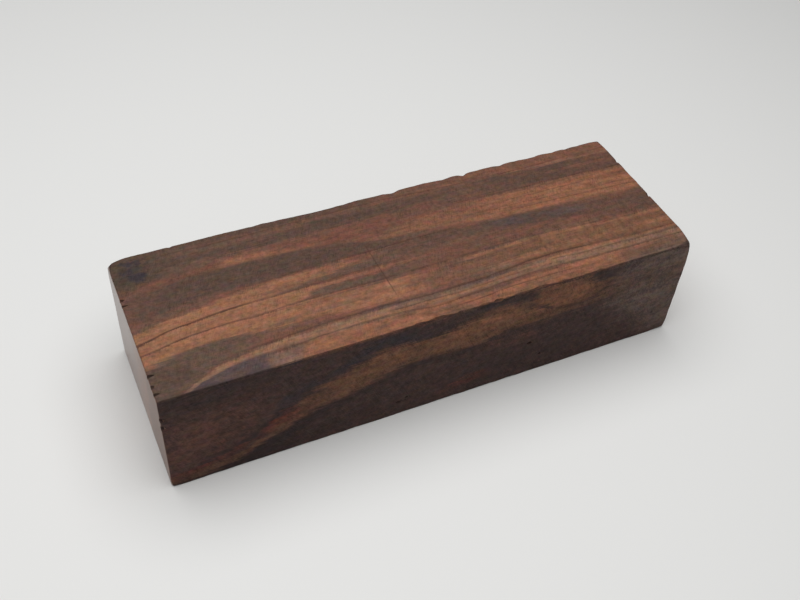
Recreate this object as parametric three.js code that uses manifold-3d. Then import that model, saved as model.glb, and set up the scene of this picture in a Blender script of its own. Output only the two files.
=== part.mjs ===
// A sawn block of ironwood, the blank that a knife handle or a small turning is cut from.
// One solid piece of heartwood, lying on its broad face: six sawn faces, arrises worn by handling,
// knocked corners, splintered chips along the end cuts and a few worm pits.
// Millimetres, +X along the grain, +Y from the front face to the back face, +Z up.
// The origin is the centre of the face that the block rests on.

import * as THREE from "three";
import { mergeVertices } from "three/addons/utils/BufferGeometryUtils.js";
import Module from "manifold-3d";

// Driving dimensions of the sawn block
const LENGTH = 130;
const WIDTH = 42.9;
const HEIGHT = 29.8;

// How the arrises are worn: the radius that every arris has, and how much it comes and goes
const ARRIS_RADIUS = 0.32;
const ARRIS_SWING = 0.17;
const ARRIS_PITCH = 3.1;

// Where the saw broke the far top arris out, along the block: extra radius over a half length,
// and ragged steps that are strongest towards the right end
const BREAKOUTS = [
  { at: 48.0, half: 6.5, radius: 0.75 },
  { at: 53.2, half: 2.4, radius: 0.35 },
  { at: 64.0, half: 9.0, radius: 0.3 },
  { at: 70.0, half: 1.3, radius: 0.6 },
  { at: 84.4, half: 1.7, radius: 0.5 },
  { at: 89.6, half: 1.0, radius: 1.1 },
  { at: 100.0, half: 1.0, radius: 0.5 },
  { at: 108.6, half: 2.4, radius: 0.6 },
  { at: 119.5, half: 5.5, radius: 0.35 },
];
const RAGGED_SWING = 0.4;
const RAGGED_PITCH = 1.9;
const RAGGED_FROM = 55;
const BREAKOUT_REACH = 2.0;

// Grid lines beside every arris, as distances from it, and the even cells between them
const ARRIS_LINES = [0.12, 0.4, 1.2, 2.8];
const CELLS_ALONG = 150;
const CELLS_ACROSS = 14;
const CELLS_UP = 12;

// How far a corner of the finished mesh may leave the shape when flat areas lose spare triangles
const FLATNESS = 0.01;

// Places on the block are given as the distance from the left end, from the back face and
// down from the top face.
const FRONT = WIDTH;
const LEFT_END = 0;
const TOP = 0;

// Corners knocked rounder than the arrises, each with its radius and how far the wear reaches
const KNOCKED_CORNERS = [
  { at: [LENGTH, FRONT, TOP], radius: 1.45, reach: 3.2 },
  { at: [LEFT_END, 0, TOP], radius: 1.4, reach: 2.6 },
  { at: [LEFT_END, FRONT, HEIGHT], radius: 0.3, reach: 1.8 },
  { at: [LENGTH, FRONT, HEIGHT], radius: 0.4, reach: 2.0 },
  { at: [LENGTH, 0, TOP], radius: 0.35, reach: 2.0 },
];

// Splinters lost from the arrises. half is the notch's half size along the grain, across and down.
const CHIPS = [
  { at: [LEFT_END, 13.1, TOP], half: [1.1, 0.5, 0.8] },
  { at: [LEFT_END, 14.9, TOP], half: [1.5, 0.35, 0.6] },
  { at: [LEFT_END, 35.8, TOP], half: [1.6, 0.45, 0.9] },
  { at: [LEFT_END, 38.8, TOP], half: [0.9, 0.6, 0.7] },
  { at: [LEFT_END, 40.9, TOP], half: [1.3, 0.4, 0.8] },
  { at: [LEFT_END, FRONT, 6.1], half: [1.0, 0.8, 0.75] },
  { at: [LEFT_END, FRONT, 8.8], half: [0.9, 0.8, 0.9] },
  { at: [14.3, 0, TOP], half: [0.9, 0.45, 0.6] },
  { at: [69.8, 0, TOP], half: [0.9, 0.75, 0.8] },
  { at: [89.6, 0, TOP], half: [0.8, 1.0, 1.0] },
  { at: [62.5, FRONT, TOP], half: [3.4, 0.6, 0.8] },
  { at: [77.0, FRONT, TOP], half: [1.4, 0.6, 0.7] },
  { at: [88.2, FRONT, TOP], half: [2.8, 0.7, 0.8] },
  { at: [LENGTH, 24.0, TOP], half: [0.8, 0.8, 0.6] },
  { at: [LENGTH, 9.6, TOP], half: [0.7, 0.9, 0.6] },
];

// Worm pits and a short check, sunk in the front face
const PITS = [
  { at: [88.0, FRONT, 18.8], half: [0.85, 0.7, 0.5] },
  { at: [91.6, FRONT, 24.1], half: [0.55, 0.5, 0.35] },
  { at: [54.1, FRONT, 25.3], half: [0.95, 0.5, 0.3] },
  { at: [56.0, FRONT, 24.4], half: [0.65, 0.5, 0.3] },
];

const HEARTWOOD_BROWN = 0x6a4636;

const wasm = await Module();
wasm.setup();

/** A block place (from the left end, from the back, down from the top) as a point of the part's frame. */
function place([fromLeft, fromBack, fromTop]) {
  return new THREE.Vector3(fromLeft - LENGTH / 2, WIDTH / 2 - fromBack, HEIGHT - fromTop);
}

/** The same number from -1 to 1 for the same whole-number cell. */
function draw(i, j, k) {
  const mixed = Math.sin(i * 127.1 + j * 311.7 + k * 74.7) * 43758.5453;
  return 2 * (mixed - Math.floor(mixed)) - 1;
}

/** Smooth random field from -1 to 1, with bumps about one unit apart. */
function bumps(x, y, z) {
  const cell = [x, y, z].map(Math.floor);
  const share = [x, y, z].map((value, axis) => {
    const t = value - cell[axis];
    return t * t * (3 - 2 * t);
  });
  let sum = 0;
  for (let corner = 0; corner < 8; corner += 1) {
    const step = [corner & 1, (corner >> 1) & 1, (corner >> 2) & 1];
    const weight = step.reduce((product, s, axis) => product * (s ? share[axis] : 1 - share[axis]), 1);
    sum += weight * draw(cell[0] + step[0], cell[1] + step[1], cell[2] + step[2]);
  }
  return sum;
}

/** How round the nearest arris is at a point of the block's surface. */
function wornRadius(point) {
  const scaled = point.clone().divideScalar(ARRIS_PITCH);
  let radius = ARRIS_RADIUS + ARRIS_SWING * bumps(scaled.x, scaled.y, scaled.z);

  const fromLeft = point.x + LENGTH / 2;
  const ragged = RAGGED_SWING * THREE.MathUtils.smoothstep(fromLeft, 0, RAGGED_FROM);
  let brokenOut = ragged * Math.max(0, bumps(fromLeft / RAGGED_PITCH, 7, 3));
  for (const breakout of BREAKOUTS) {
    const along = (fromLeft - breakout.at) / breakout.half;
    brokenOut += breakout.radius * Math.exp(-along * along);
  }
  const fromFarTopArris = Math.hypot(point.y - WIDTH / 2, point.z - HEIGHT) / BREAKOUT_REACH;
  radius += brokenOut * Math.exp(-fromFarTopArris * fromFarTopArris);

  for (const corner of KNOCKED_CORNERS) {
    const away = point.distanceTo(place(corner.at)) / corner.reach;
    radius += corner.radius * Math.exp(-away * away);
  }
  return radius;
}

/** The grid line that belongs to an even cell number: close beside both arrises, even in between. */
function gridLine(index, cells, half) {
  const side = Math.min(index, cells - index);
  if (side === 0) {
    return index === 0 ? -half : half;
  }
  if (side <= ARRIS_LINES.length) {
    const inset = half - ARRIS_LINES[side - 1];
    return index < cells / 2 ? -inset : inset;
  }
  const first = ARRIS_LINES.length;
  const inner = half - ARRIS_LINES[first - 1];
  return inner * ((2 * (index - first)) / (cells - 2 * first) - 1);
}

/** The sawn block, its arrises and corners worn round by the local radius. */
function wornBlock() {
  const cells = new THREE.Vector3(CELLS_ALONG, CELLS_ACROSS, CELLS_UP);
  const geometry = new THREE.BoxGeometry(...cells, ...cells);
  const half = new THREE.Vector3(LENGTH / 2, WIDTH / 2, HEIGHT / 2);
  const middle = new THREE.Vector3(0, 0, HEIGHT / 2);
  const position = geometry.getAttribute("position");
  const point = new THREE.Vector3();
  for (let i = 0; i < position.count; i += 1) {
    point.fromBufferAttribute(position, i);
    for (const axis of ["x", "y", "z"]) {
      const index = Math.round(point[axis] + cells[axis] / 2);
      point[axis] = gridLine(index, cells[axis], half[axis]);
    }
    const radius = wornRadius(point.clone().add(middle));
    const inner = half.clone().subScalar(radius);
    const core = point.clone().clamp(inner.clone().negate(), inner);
    const out = point.clone().sub(core).setLength(radius);
    point.copy(core).add(out).add(middle);
    position.setXYZ(i, point.x, point.y, point.z);
  }
  return geometry;
}

/** A notch cutter: a faceted lens, sharper with no detail and rounder with one. */
function notch({ at, half }, detail) {
  const geometry = new THREE.OctahedronGeometry(1, detail);
  geometry.scale(...half);
  const centre = place(at);
  geometry.translate(centre.x, centre.y, centre.z);
  return geometry;
}

/** A geometry with only its shared corner points, as a solid for cutting. */
function solidFrom(geometry) {
  const bare = geometry.clone();
  bare.deleteAttribute("normal");
  bare.deleteAttribute("uv");
  const merged = mergeVertices(bare, 1e-4);
  return new wasm.Manifold(
    new wasm.Mesh({
      numProp: 3,
      vertProperties: new Float32Array(merged.getAttribute("position").array),
      triVerts: new Uint32Array(merged.getIndex().array),
    }),
  );
}

/** A cut solid as a geometry that three.js can draw. */
function geometryFrom(solid) {
  const mesh = solid.getMesh();
  const geometry = new THREE.BufferGeometry();
  geometry.setAttribute("position", new THREE.BufferAttribute(new Float32Array(mesh.vertProperties), 3));
  geometry.setIndex(new THREE.BufferAttribute(new Uint32Array(mesh.triVerts), 1));
  geometry.computeVertexNormals();
  return geometry;
}

/** The whole piece: the worn block less its chips and pits. */
function ironwoodBlock() {
  let solid = solidFrom(wornBlock());
  for (const chip of CHIPS) {
    solid = solid.subtract(solidFrom(notch(chip, 0)));
  }
  for (const pit of PITS) {
    solid = solid.subtract(solidFrom(notch(pit, 1)));
  }
  solid = solid.simplify(FLATNESS);
  const heartwood = new THREE.MeshStandardMaterial({
    color: HEARTWOOD_BROWN,
    roughness: 0.62,
    metalness: 0,
  });
  const mesh = new THREE.Mesh(geometryFrom(solid), heartwood);
  mesh.name = "ironwood_block";
  return mesh;
}

const part = new THREE.Group();
part.name = "ironwood_block_part";
part.add(ironwoodBlock());

export default part;
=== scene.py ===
"""A sawn block of ironwood lying on a pale table, dressed for its portrait.

The block is one piece of dark striped heartwood, the blank that a knife handle is cut from. Its solid
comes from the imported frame; this script rebuilds its surface finely, with worn arrises, splinter chips
and worm pits, and gives it a figure that runs through the whole solid: growth layers that rise to the
right, cut nearly edge on by the top face and nearly flat by the front face.

Places on the block are told in millimetres: from the left end, from the back face and below the top.
"""

from __future__ import annotations

import logging
import math
from collections.abc import Iterable
from dataclasses import dataclass
from enum import Enum
from functools import cached_property

import bmesh
import bpy
import numpy as np
from mathutils import Matrix, Vector, noise


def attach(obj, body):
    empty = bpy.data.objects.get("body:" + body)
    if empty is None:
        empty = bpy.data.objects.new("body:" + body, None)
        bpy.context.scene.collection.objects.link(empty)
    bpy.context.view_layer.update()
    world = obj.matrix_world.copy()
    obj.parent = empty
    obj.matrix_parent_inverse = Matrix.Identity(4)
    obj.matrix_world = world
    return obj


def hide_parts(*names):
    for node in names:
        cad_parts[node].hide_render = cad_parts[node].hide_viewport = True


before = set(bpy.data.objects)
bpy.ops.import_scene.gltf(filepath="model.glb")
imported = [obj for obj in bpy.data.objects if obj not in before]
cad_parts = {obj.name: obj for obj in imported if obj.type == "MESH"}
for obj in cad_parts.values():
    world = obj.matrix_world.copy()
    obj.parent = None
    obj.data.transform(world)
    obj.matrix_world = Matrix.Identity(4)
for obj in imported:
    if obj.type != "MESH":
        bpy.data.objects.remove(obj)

log = logging.getLogger("ironwood_block")

MM = 0.001
NODE = "ironwood_block"

Points = tuple[tuple[float, float], ...]


class Side(Enum):
    """The six sawn faces, each with the axis that it faces along and whether it faces the positive way."""

    LEFT_END = (0, False)
    RIGHT_END = (0, True)
    FRONT = (1, False)
    BACK = (1, True)
    BASE = (2, False)
    TOP = (2, True)

    @property
    def axis(self) -> int:
        """The axis that the face looks along: 0, 1 or 2."""
        return self.value[0]

    @property
    def positive(self) -> bool:
        """Whether the face looks towards the positive end of its axis."""
        return self.value[1]


class Tone(Enum):
    """Colours of the wood, red, green and blue from 0 to 255; the plum ground of the front face also holds
    painted shade.
    """

    HEART_BROWN = (101, 76, 63)
    DARK_GREY = (83, 64, 55)
    GREY_BROWN = (91, 72, 61)
    RED_BROWN = (108, 71, 58)
    RUST = (119, 81, 65)
    ORANGE = (134, 90, 68)
    LIGHT_ORANGE = (139, 96, 72)
    TAN = (128, 97, 78)
    PINK_GREY = (114, 88, 75)
    SLATE = (80, 67, 66)
    BLUE_BLACK = (58, 50, 53)
    GREEN_BLACK = (68, 59, 48)
    LINE_BROWN = (70, 47, 38)
    # Ground of the front face: the wood's plum, made darker still with painted shade.
    PLUM = (72, 54, 50)
    VEIN_BLACK = (54, 42, 41)
    BAND_BROWN = (113, 79, 60)
    BAND_RED = (104, 52, 42)
    ASH_BROWN = (104, 86, 78)

    @property
    def linear(self) -> tuple[float, float, float, float]:
        """The colour in linear light, with alpha."""
        return (*(((c / 255 + 0.055) / 1.055) ** 2.4 for c in self.value), 1.0)


@dataclass(frozen=True)
class Place:
    """A place on the block, in millimetres."""

    left: float
    back: float
    below: float


@dataclass(frozen=True)
class Knock:
    """A corner knocked rounder than the arrises: its extra radius and how far that reaches."""

    at: Place
    radius: float
    reach: float


@dataclass(frozen=True)
class Breakout:
    """A stretch of the far top arris that the saw broke out: extra radius over a half length."""

    left: float
    half: float
    radius: float


@dataclass(frozen=True)
class Chip:
    """A splinter or pit: its middle and its half sizes along the grain, across and down."""

    at: Place
    half: tuple[float, float, float]


@dataclass(frozen=True)
class Fray:
    """Tiny random chips along one arris, from one place to another."""

    start: Place
    end: Place
    count: int
    half: tuple[float, float, float]


@dataclass(frozen=True)
class Lobe:
    """One lobe of the knot: its middle, its half sizes along the grain, across and down, and its strength."""

    at: Place
    half: tuple[float, float, float]
    strength: float


class Growth:
    """Growth layers, counted in millimetres from the back along the top face.

    A layer that crosses the top face also runs down into the block, and comes nearer to the back as it
    does, so going down by a millimetre passes as many layers as going forward by SLOPE. FIRST is the layer
    that a mark's path starts from on each face.
    """

    SLOPE = 0.25
    AT_BACK = -0.2
    FIRST = {Side.TOP: 0.2, Side.FRONT: 42.7, Side.BACK: AT_BACK}


@dataclass(frozen=True)
class Mark:
    """One mark of the figure, listed under the face where it shows.

    On the top face its path and half width are distances from the back, on the front and back faces
    distances below the top. Half width and strength go along the block, or are one number for all of it.
    Feather is how far fibres drag its edges, and patchy how much it comes and goes.
    """

    name: str
    tone: Tone
    path: Points
    half: Points | float
    strength: Points | float
    soft: float = 0.4
    feather: float = 0.12
    patchy: float = 0.25


TOP_MARKS = (
    Mark("back margin", Tone.GREY_BROWN, ((0, 4.5), (30, 4), (60, 3.6), (90, 3)), half=5,
         strength=((0, 0.9), (12, 0.7), (35, 0.45), (60, 0.3), (80, 0))),
    Mark("dark back edge", Tone.DARK_GREY, ((0, 0.6), (130, 0.6)), half=1.1,
         strength=((0, 0.6), (20, 0.6), (45, 0.75), (54, 0.6), (62, 0.4), (72, 0.3), (92, 0.4),
          (103, 0.5), (112, 0.1), (130, 0.2)), feather=0.5),
    Mark("green shade by the knot", Tone.GREEN_BLACK, ((0, 6), (10, 6), (24, 5)), half=4.5,
         strength=((0, 0.8), (8, 0.65), (14, 0.15), (20, 0)), soft=0.7),
    Mark("rust strip", Tone.RUST, ((75, 1.8), (88, 2.6), (102, 2.6), (112, 3), (130, 3.4)),
         half=((75, 2.7), (88, 3.4), (102, 3), (112, 3.6), (130, 3.9)),
         strength=((60, 0), (72, 0.25), (85, 0.45), (95, 0.75), (102, 0.75), (116, 0.9), (130, 0.9))),
    Mark("light line in rust strip", Tone.TAN, ((96, 3.6), (112, 3.7), (130, 4.5)), half=0.3,
         strength=((96, 0), (104, 0.4), (130, 0.4))),
    Mark("grey band behind", Tone.DARK_GREY,
         ((45, 5.4), (70, 6), (90, 7.5), (100, 7.4), (110, 8.3), (130, 9)),
         half=((45, 1.2), (70, 2), (100, 2.1), (110, 1.7), (130, 1.6)),
         strength=((42, 0.1), (60, 0.45), (76, 0.25), (86, 0.15), (94, 0.4), (102, 0.65), (112, 0.75),
          (118, 0.6), (130, 0.5)), feather=0.5),
    Mark("red middle", Tone.RED_BROWN,
         ((4, 10.6), (14, 11.2), (20, 10), (45, 10.4), (62, 9.8), (80, 9.6)),
         half=((4, 1.6), (20, 1.6), (48, 3), (62, 2.4), (80, 1.2)),
         strength=((2, 0), (8, 0.75), (20, 0.7), (34, 0.5), (42, 0.85), (62, 0.8), (82, 0)), soft=0.6),
    Mark("orange glow", Tone.RUST, ((18, 9.6), (28, 8.4), (38, 8.8), (50, 9.6)),
         half=((18, 1), (28, 2.4), (38, 2), (50, 1.2)),
         strength=((16, 0), (24, 0.2), (30, 0.6), (36, 0.4), (50, 0)), soft=0.8, feather=0.8),
    Mark("orange streak", Tone.ORANGE,
         ((19, 10), (24, 9.9), (30, 10.1), (38, 10.7), (48, 11), (62, 11.4)),
         half=((19, 0.6), (28, 1.5), (33, 1.3), (38, 0.7), (60, 0.4)),
         strength=((18, 0), (24, 0.5), (29, 0.85), (34, 0.75), (40, 0.5), (50, 0.15), (55, 0)), soft=0.6),
    Mark("wide orange band", Tone.ORANGE,
         ((54, 13), (65, 13.6), (75, 13.5), (90, 13.9), (95, 14.3), (102, 14.7), (110, 14.7), (120, 15.1),
          (130, 15.9)),
         half=((54, 0.8), (65, 1.8), (75, 2.6), (90, 3.4), (102, 4), (110, 4), (120, 4.2), (130, 4.1)),
         strength=((54, 0), (62, 0.1), (70, 0.4), (80, 0.4), (88, 0.7), (96, 0.9), (102, 1), (130, 1)),
         soft=0.3),
    Mark("orange foot", Tone.LIGHT_ORANGE,
         ((54, 14), (65, 14.3), (75, 14.9), (88, 16.7), (102, 17.9), (130, 18.6)), half=0.7,
         strength=((54, 0), (62, 0.35), (70, 0.45), (77, 0.15), (88, 0.4), (94, 0.3), (102, 0.1),
          (118, 0.4), (130, 0)), soft=0.7),
    Mark("crest of the orange band", Tone.LIGHT_ORANGE, ((106, 13.6), (118, 14.8), (124, 15.6)), half=2.4,
         strength=((100, 0), (106, 0.3), (116, 0.55), (120, 0.5), (126, 0)), soft=0.6),
    Mark("grey band", Tone.DARK_GREY,
         ((0, 17.2), (6, 16.4), (12, 15), (25, 14.3), (40, 14.4), (50, 15), (60, 16.1), (72, 16.6)),
         half=((0, 4), (6, 4), (12, 3.9), (25, 3.6), (40, 3.3), (50, 2.6), (60, 1.3), (72, 0.6)),
         strength=((0, 0.4), (6, 0.75), (16, 1), (42, 0.95), (52, 0.85), (62, 0.7), (72, 0)), soft=0.25),
    Mark("grey band right", Tone.DARK_GREY,
         ((56, 19.4), (66, 19.3), (75, 19), (86, 20), (95, 20.6), (105, 21.3), (112, 22.2), (118, 24),
          (130, 24.2)),
         half=((56, 1.5), (66, 2.3), (78, 1.9), (86, 1.6), (95, 2.1), (104, 2.3), (112, 2.7), (118, 3),
          (130, 3.8)),
         strength=((54, 0), (64, 0.5), (75, 0.65), (86, 0.55), (94, 0.85), (104, 0.75), (118, 0.5),
          (130, 0.6)), soft=0.35),
    Mark("blue in grey band", Tone.SLATE, ((84, 18.8), (94, 20.3), (100, 20.6), (104, 21.4), (118, 21.8)),
         half=1.1, strength=((82, 0), (92, 0.7), (97, 0.6), (100, 0.3), (104, 0.6), (110, 0.5), (120, 0)),
         soft=0.6),
    Mark("red under grey band", Tone.RED_BROWN,
         ((58, 23.6), (75, 23.4), (88, 23.8), (104, 25.3), (130, 28)), half=1.6,
         strength=((56, 0), (66, 0.45), (90, 0.5), (104, 0.4), (112, 0.2), (130, 0)), soft=0.7),
    Mark("light band", Tone.LIGHT_ORANGE,
         ((0, 25.2), (6, 23.9), (12, 23), (20, 22), (30, 20.9), (40, 20.2), (60, 19.8)),
         half=((0, 1.4), (6, 1.5), (12, 1.4), (20, 1.7), (30, 2), (40, 1.5), (60, 0.9)),
         strength=((0, 0.75), (6, 1), (40, 0.85), (50, 0.55), (58, 0)), soft=0.4),
    Mark("brown in light band", Tone.GREY_BROWN,
         ((28, 21.8), (36, 21.5), (44, 21.7), (52, 21.2), (60, 21.3), (90, 24)),
         half=((28, 0.4), (36, 0.8), (44, 0.8), (52, 1.3), (60, 1.3), (90, 1.5)),
         strength=((25, 0), (29, 0.4), (34, 0.45), (40, 0.35), (44, 0.6), (54, 0.8), (60, 0.4), (64, 0.2),
          (85, 0.1), (98, 0)), feather=0.6, patchy=0.6),
    Mark("second light band", Tone.LIGHT_ORANGE,
         ((0, 28.5), (5, 27.4), (10, 26.1), (20, 25.5), (30, 25.2), (48, 24.5)),
         half=((0, 1.3), (10, 1.7), (30, 1.9), (48, 1)),
         strength=((0, 0.85), (8, 1), (36, 0.95), (42, 0.4), (50, 0)), soft=0.25),
    Mark("brown under first line", Tone.GREY_BROWN, ((37, 25.6), (48, 25.9), (60, 25.7), (100, 24.6)),
         half=((37, 0.5), (45, 1), (60, 1.2), (100, 1.7)),
         strength=((37, 0), (41, 0.75), (55, 0.85), (62, 0.4), (80, 0.1), (112, 0)), soft=0.6,
         feather=0.6, patchy=0.4),
    Mark("light line under first", Tone.LIGHT_ORANGE, ((30, 23.9), (45, 23.9), (60, 23.6), (72, 23.4)),
         half=0.45, strength=((30, 0), (38, 0.7), (48, 0.6), (54, 0.3), (64, 0.35), (74, 0)),
         feather=0.15),
    Mark("first dark line", Tone.LINE_BROWN,
         ((0, 27), (3, 26.3), (5, 25.7), (8, 24.9), (13, 24.3), (17, 23.9), (22, 23.5), (30, 23.2),
          (43, 22.9), (60, 22.6)), half=0.26,
         strength=((0, 0.7), (5, 0.75), (22, 0.75), (27, 0.35), (32, 0.3), (40, 0.4), (56, 0.3), (66, 0)),
         soft=0.8, feather=0.08),
    Mark("third light band", Tone.LIGHT_ORANGE,
         ((0, 32), (6, 30.9), (10, 29.9), (18, 29.4), (30, 30), (38, 30), (45, 30.6), (76, 31)),
         half=((0, 2.3), (6, 2), (10, 1.6), (18, 1.9), (30, 2.6), (38, 3), (60, 3.1), (76, 2.2)),
         strength=((0, 0.9), (34, 1), (46, 0.8), (54, 0.95), (62, 0.65), (68, 0.2), (86, 0.1), (95, 0)),
         soft=0.25, feather=0.45),
    Mark("second dark line", Tone.LINE_BROWN,
         ((0, 29.9), (5, 29), (10, 28.1), (15, 27.6), (20, 27.4), (25, 27.7), (30, 27.3), (34, 26.8),
          (47, 26.9), (72, 26.7), (95, 26.3)), half=0.24,
         strength=((0, 0.5), (12, 0.5), (22, 0.55), (30, 0.4), (38, 0.2), (56, 0.35), (90, 0.3),
          (100, 0)), soft=0.8, feather=0.1),
    Mark("red over third line", Tone.RED_BROWN, ((32, 33), (38, 33), (44, 33.9), (60, 34.4)),
         half=((32, 1.4), (38, 1.5), (44, 0.6), (60, 0.6)),
         strength=((30, 0), (34, 0.4), (38, 0.45), (46, 0.3), (52, 0.1), (56, 0)), soft=0.6, patchy=0.5),
    Mark("shade in the third band", Tone.GREY_BROWN, ((26, 31.6), (32, 31.4), (38, 30.8), (50, 30.8)),
         half=0.7, strength=((25, 0), (30, 0.55), (36, 0.3), (46, 0.35), (53, 0)), soft=0.6, feather=0.5,
         patchy=0.5),
    Mark("orange right of centre", Tone.BAND_BROWN, ((60, 30.6), (90, 30.8), (130, 31.5)), half=3.2,
         strength=((60, 0), (74, 0.2), (86, 0.55), (94, 0.85), (108, 1), (118, 0.85), (130, 0.95)),
         soft=0.5, feather=0.7, patchy=0.4),
    Mark("fine light line", Tone.LIGHT_ORANGE,
         ((70, 27.8), (78, 27.8), (88, 27.4), (96, 27.3), (105, 27.8), (120, 28.9), (130, 29.3)),
         half=0.45,
         strength=((68, 0), (76, 0.5), (86, 0.9), (92, 0.6), (98, 0.4), (106, 0.65), (116, 0.4),
          (130, 0.5)), feather=0.15),
    Mark("light line in the brown", Tone.LIGHT_ORANGE, ((78, 32.4), (90, 32), (110, 32.2), (130, 32.4)),
         half=0.7,
         strength=((78, 0), (84, 0.4), (92, 0.5), (100, 0.35), (110, 0.8), (116, 0.3), (130, 0.5)),
         feather=0.2, patchy=0.5),
    Mark("grey patch left", Tone.GREY_BROWN,
         ((0, 38.5), (5, 37.6), (8, 36.6), (12, 35.3), (20, 33.7), (28, 33.3)),
         half=((0, 4.4), (5, 4.9), (8, 4.7), (12, 3.8), (20, 2.4), (28, 1.3)),
         strength=((0, 0.9), (3, 1), (14, 0.9), (20, 0.75), (26, 0.4), (32, 0)), soft=0.25, feather=0.6),
    Mark("dark in the grey patch", Tone.DARK_GREY, ((0, 38), (12, 37.5)), half=((0, 3.6), (12, 2.4)),
         strength=((0, 0.75), (7, 0.75), (13, 0)), soft=0.5, feather=0.6),
    Mark("slate corner", Tone.SLATE, ((4, 42.5), (10, 42), (14, 41.2), (20, 40.6), (26, 40.6)),
         half=((4, 0.6), (10, 1), (14, 1.5), (26, 2.2)),
         strength=((4, 0), (9, 0.8), (24, 0.95), (26.5, 0)), soft=0.25),
    Mark("pink patch", Tone.PINK_GREY, ((22, 40.6), (36, 40.6)), half=2,
         strength=((23, 0), (26, 0.85), (31, 0.85), (34, 0)), soft=0.25),
    Mark("front margin", Tone.ORANGE,
         ((30, 40.7), (60, 40.4), (78, 40.8), (90, 40.4), (104, 40.4), (130, 40.4)),
         half=((30, 2.6), (64, 2.2), (78, 1.7), (94, 2), (106, 2.4), (130, 2.4)),
         strength=((30, 0), (34, 0.85), (46, 0.95), (53, 0.7), (60, 0.85), (66, 0.7), (78, 0.75),
          (92, 0.75), (108, 0.95), (112, 0.5), (120, 0.3), (130, 0.65)), soft=0.3, patchy=0.6),
    Mark("front right corner", Tone.GREY_BROWN, ((108, 41.2), (130, 41.2)), half=2.1,
         strength=((109, 0), (114, 0.45), (122, 0.3), (130, 0.15)), soft=0.4, feather=0.8),
    Mark("tan line front", Tone.TAN,
         ((6, 42.5), (8, 41.7), (12, 39.9), (16, 38.5), (20, 37.7), (26, 37.1), (33, 37), (60, 36.9),
          (78, 36.9), (88, 36), (105, 36.3), (130, 37.4)),
         half=((6, 0.4), (16, 0.7), (26, 0.9), (35, 1.1), (42, 1.3), (66, 1.3), (78, 0.9), (88, 1.3),
          (105, 1.5), (130, 1.4)),
         strength=((5, 0), (9, 0.7), (15, 0.65), (24, 0.95), (60, 0.85), (80, 0.8), (104, 0.95),
          (118, 0.75), (130, 0.9)), patchy=0.35),
    Mark("light crest of tan line", Tone.LIGHT_ORANGE,
         ((14, 39), (20, 37.4), (40, 37), (60, 37.3), (75, 36.9), (86, 36), (92, 36), (96, 35),
          (105, 34.7), (118, 35.2), (130, 35.3)), half=0.5,
         strength=((12, 0), (18, 0.5), (24, 0.6), (40, 0.4), (60, 0.6), (75, 0.8), (95, 0.6), (108, 0.8),
          (118, 0.4), (130, 0.7)), feather=0.15),
    Mark("second light crest", Tone.TAN, ((96, 36.6), (110, 36.8), (130, 37.2)), half=0.5,
         strength=((94, 0), (103, 0.8), (112, 0.6), (118, 0.3), (130, 0.6)), feather=0.15),
    Mark("shade of the third line", Tone.SLATE,
         ((44, 34.9), (52, 34.9), (60, 35.5), (70, 35.6), (78, 35.5), (88, 34.7)), half=0.5,
         strength=((44, 0), (50, 0.4), (58, 0.5), (66, 0.3), (76, 0.6), (84, 0.4), (90, 0)), soft=0.7,
         patchy=0.5),
    Mark("hair line in the tan", Tone.LINE_BROWN,
         ((50, 36.5), (62, 36.8), (72, 36.9), (80, 36.5), (92, 36.2)), half=0.17,
         strength=((50, 0), (58, 0.4), (84, 0.4), (94, 0)), soft=0.8, feather=0.1),
    Mark("hair line by the arris", Tone.LINE_BROWN,
         ((60, 40.6), (72, 40.5), (84, 39.6), (96, 39.7), (112, 40.2)), half=0.18,
         strength=((58, 0), (66, 0.3), (78, 0.5), (96, 0.4), (112, 0)), soft=0.8, feather=0.12),
    Mark("third dark line", Tone.LINE_BROWN,
         ((15, 36.6), (20, 36.1), (27, 35.7), (35, 35.1), (42, 34.6), (52, 34.6), (57, 35), (67, 35.2),
          (72, 35.1), (78, 34.9), (86, 34.1), (92, 33.5), (100, 33.6), (107, 34.2), (112, 34.5),
          (120, 34.8), (130, 34.9)), half=0.25,
         strength=((14, 0), (22, 0.4), (60, 0.5), (80, 0.6), (98, 0.65), (110, 0.4), (130, 0.5)),
         soft=0.8, feather=0.1),
    Mark("hair line right", Tone.LINE_BROWN, ((92, 34.9), (100, 35.6), (115, 36), (130, 36.2)), half=0.2,
         strength=((92, 0), (99, 0.4), (130, 0.45)), soft=0.8, feather=0.1),
    Mark("fourth dark line", Tone.LINE_BROWN,
         ((23, 38.8), (30, 38.5), (37, 37.9), (45, 37.8), (52, 37.8), (58, 38.2), (64, 39), (68, 38.9),
          (72, 38.4), (80, 38), (86, 37.6), (93, 37.4), (100, 37.6), (105, 38), (112, 38), (120, 38.1),
          (130, 38.3)), half=0.25,
         strength=((23, 0), (28, 0.45), (60, 0.45), (82, 0.35), (104, 0.35), (116, 0.5), (130, 0.5)),
         soft=0.8, feather=0.08),
    Mark("line in orange band", Tone.LINE_BROWN,
         ((76, 14.2), (90, 14.6), (100, 15), (115, 15.7), (130, 16.4)), half=0.17,
         strength=((76, 0), (90, 0.25), (105, 0.35), (114, 0.15), (130, 0.3)), soft=0.8, feather=0.1),
    Mark("upper line in orange band", Tone.LINE_BROWN, ((78, 12.4), (95, 12.8), (112, 13.1), (130, 13.4)),
         half=((78, 0.16), (116, 0.16), (126, 0.9)),
         strength=((78, 0), (92, 0.3), (122, 0.3), (130, 0.4)), soft=0.8, feather=0.1),
    Mark("lower line in orange band", Tone.LINE_BROWN, ((86, 16.2), (105, 16.7), (130, 17.9)), half=0.16,
         strength=((86, 0), (100, 0.35), (130, 0.4)), soft=0.8, feather=0.1),
    Mark("line over orange band", Tone.LINE_BROWN, ((70, 9.2), (95, 9.6), (112, 9.9), (130, 10.6)),
         half=0.2, strength=((70, 0), (88, 0.35), (104, 0.5), (130, 0.45)), soft=0.8, feather=0.1),
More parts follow.
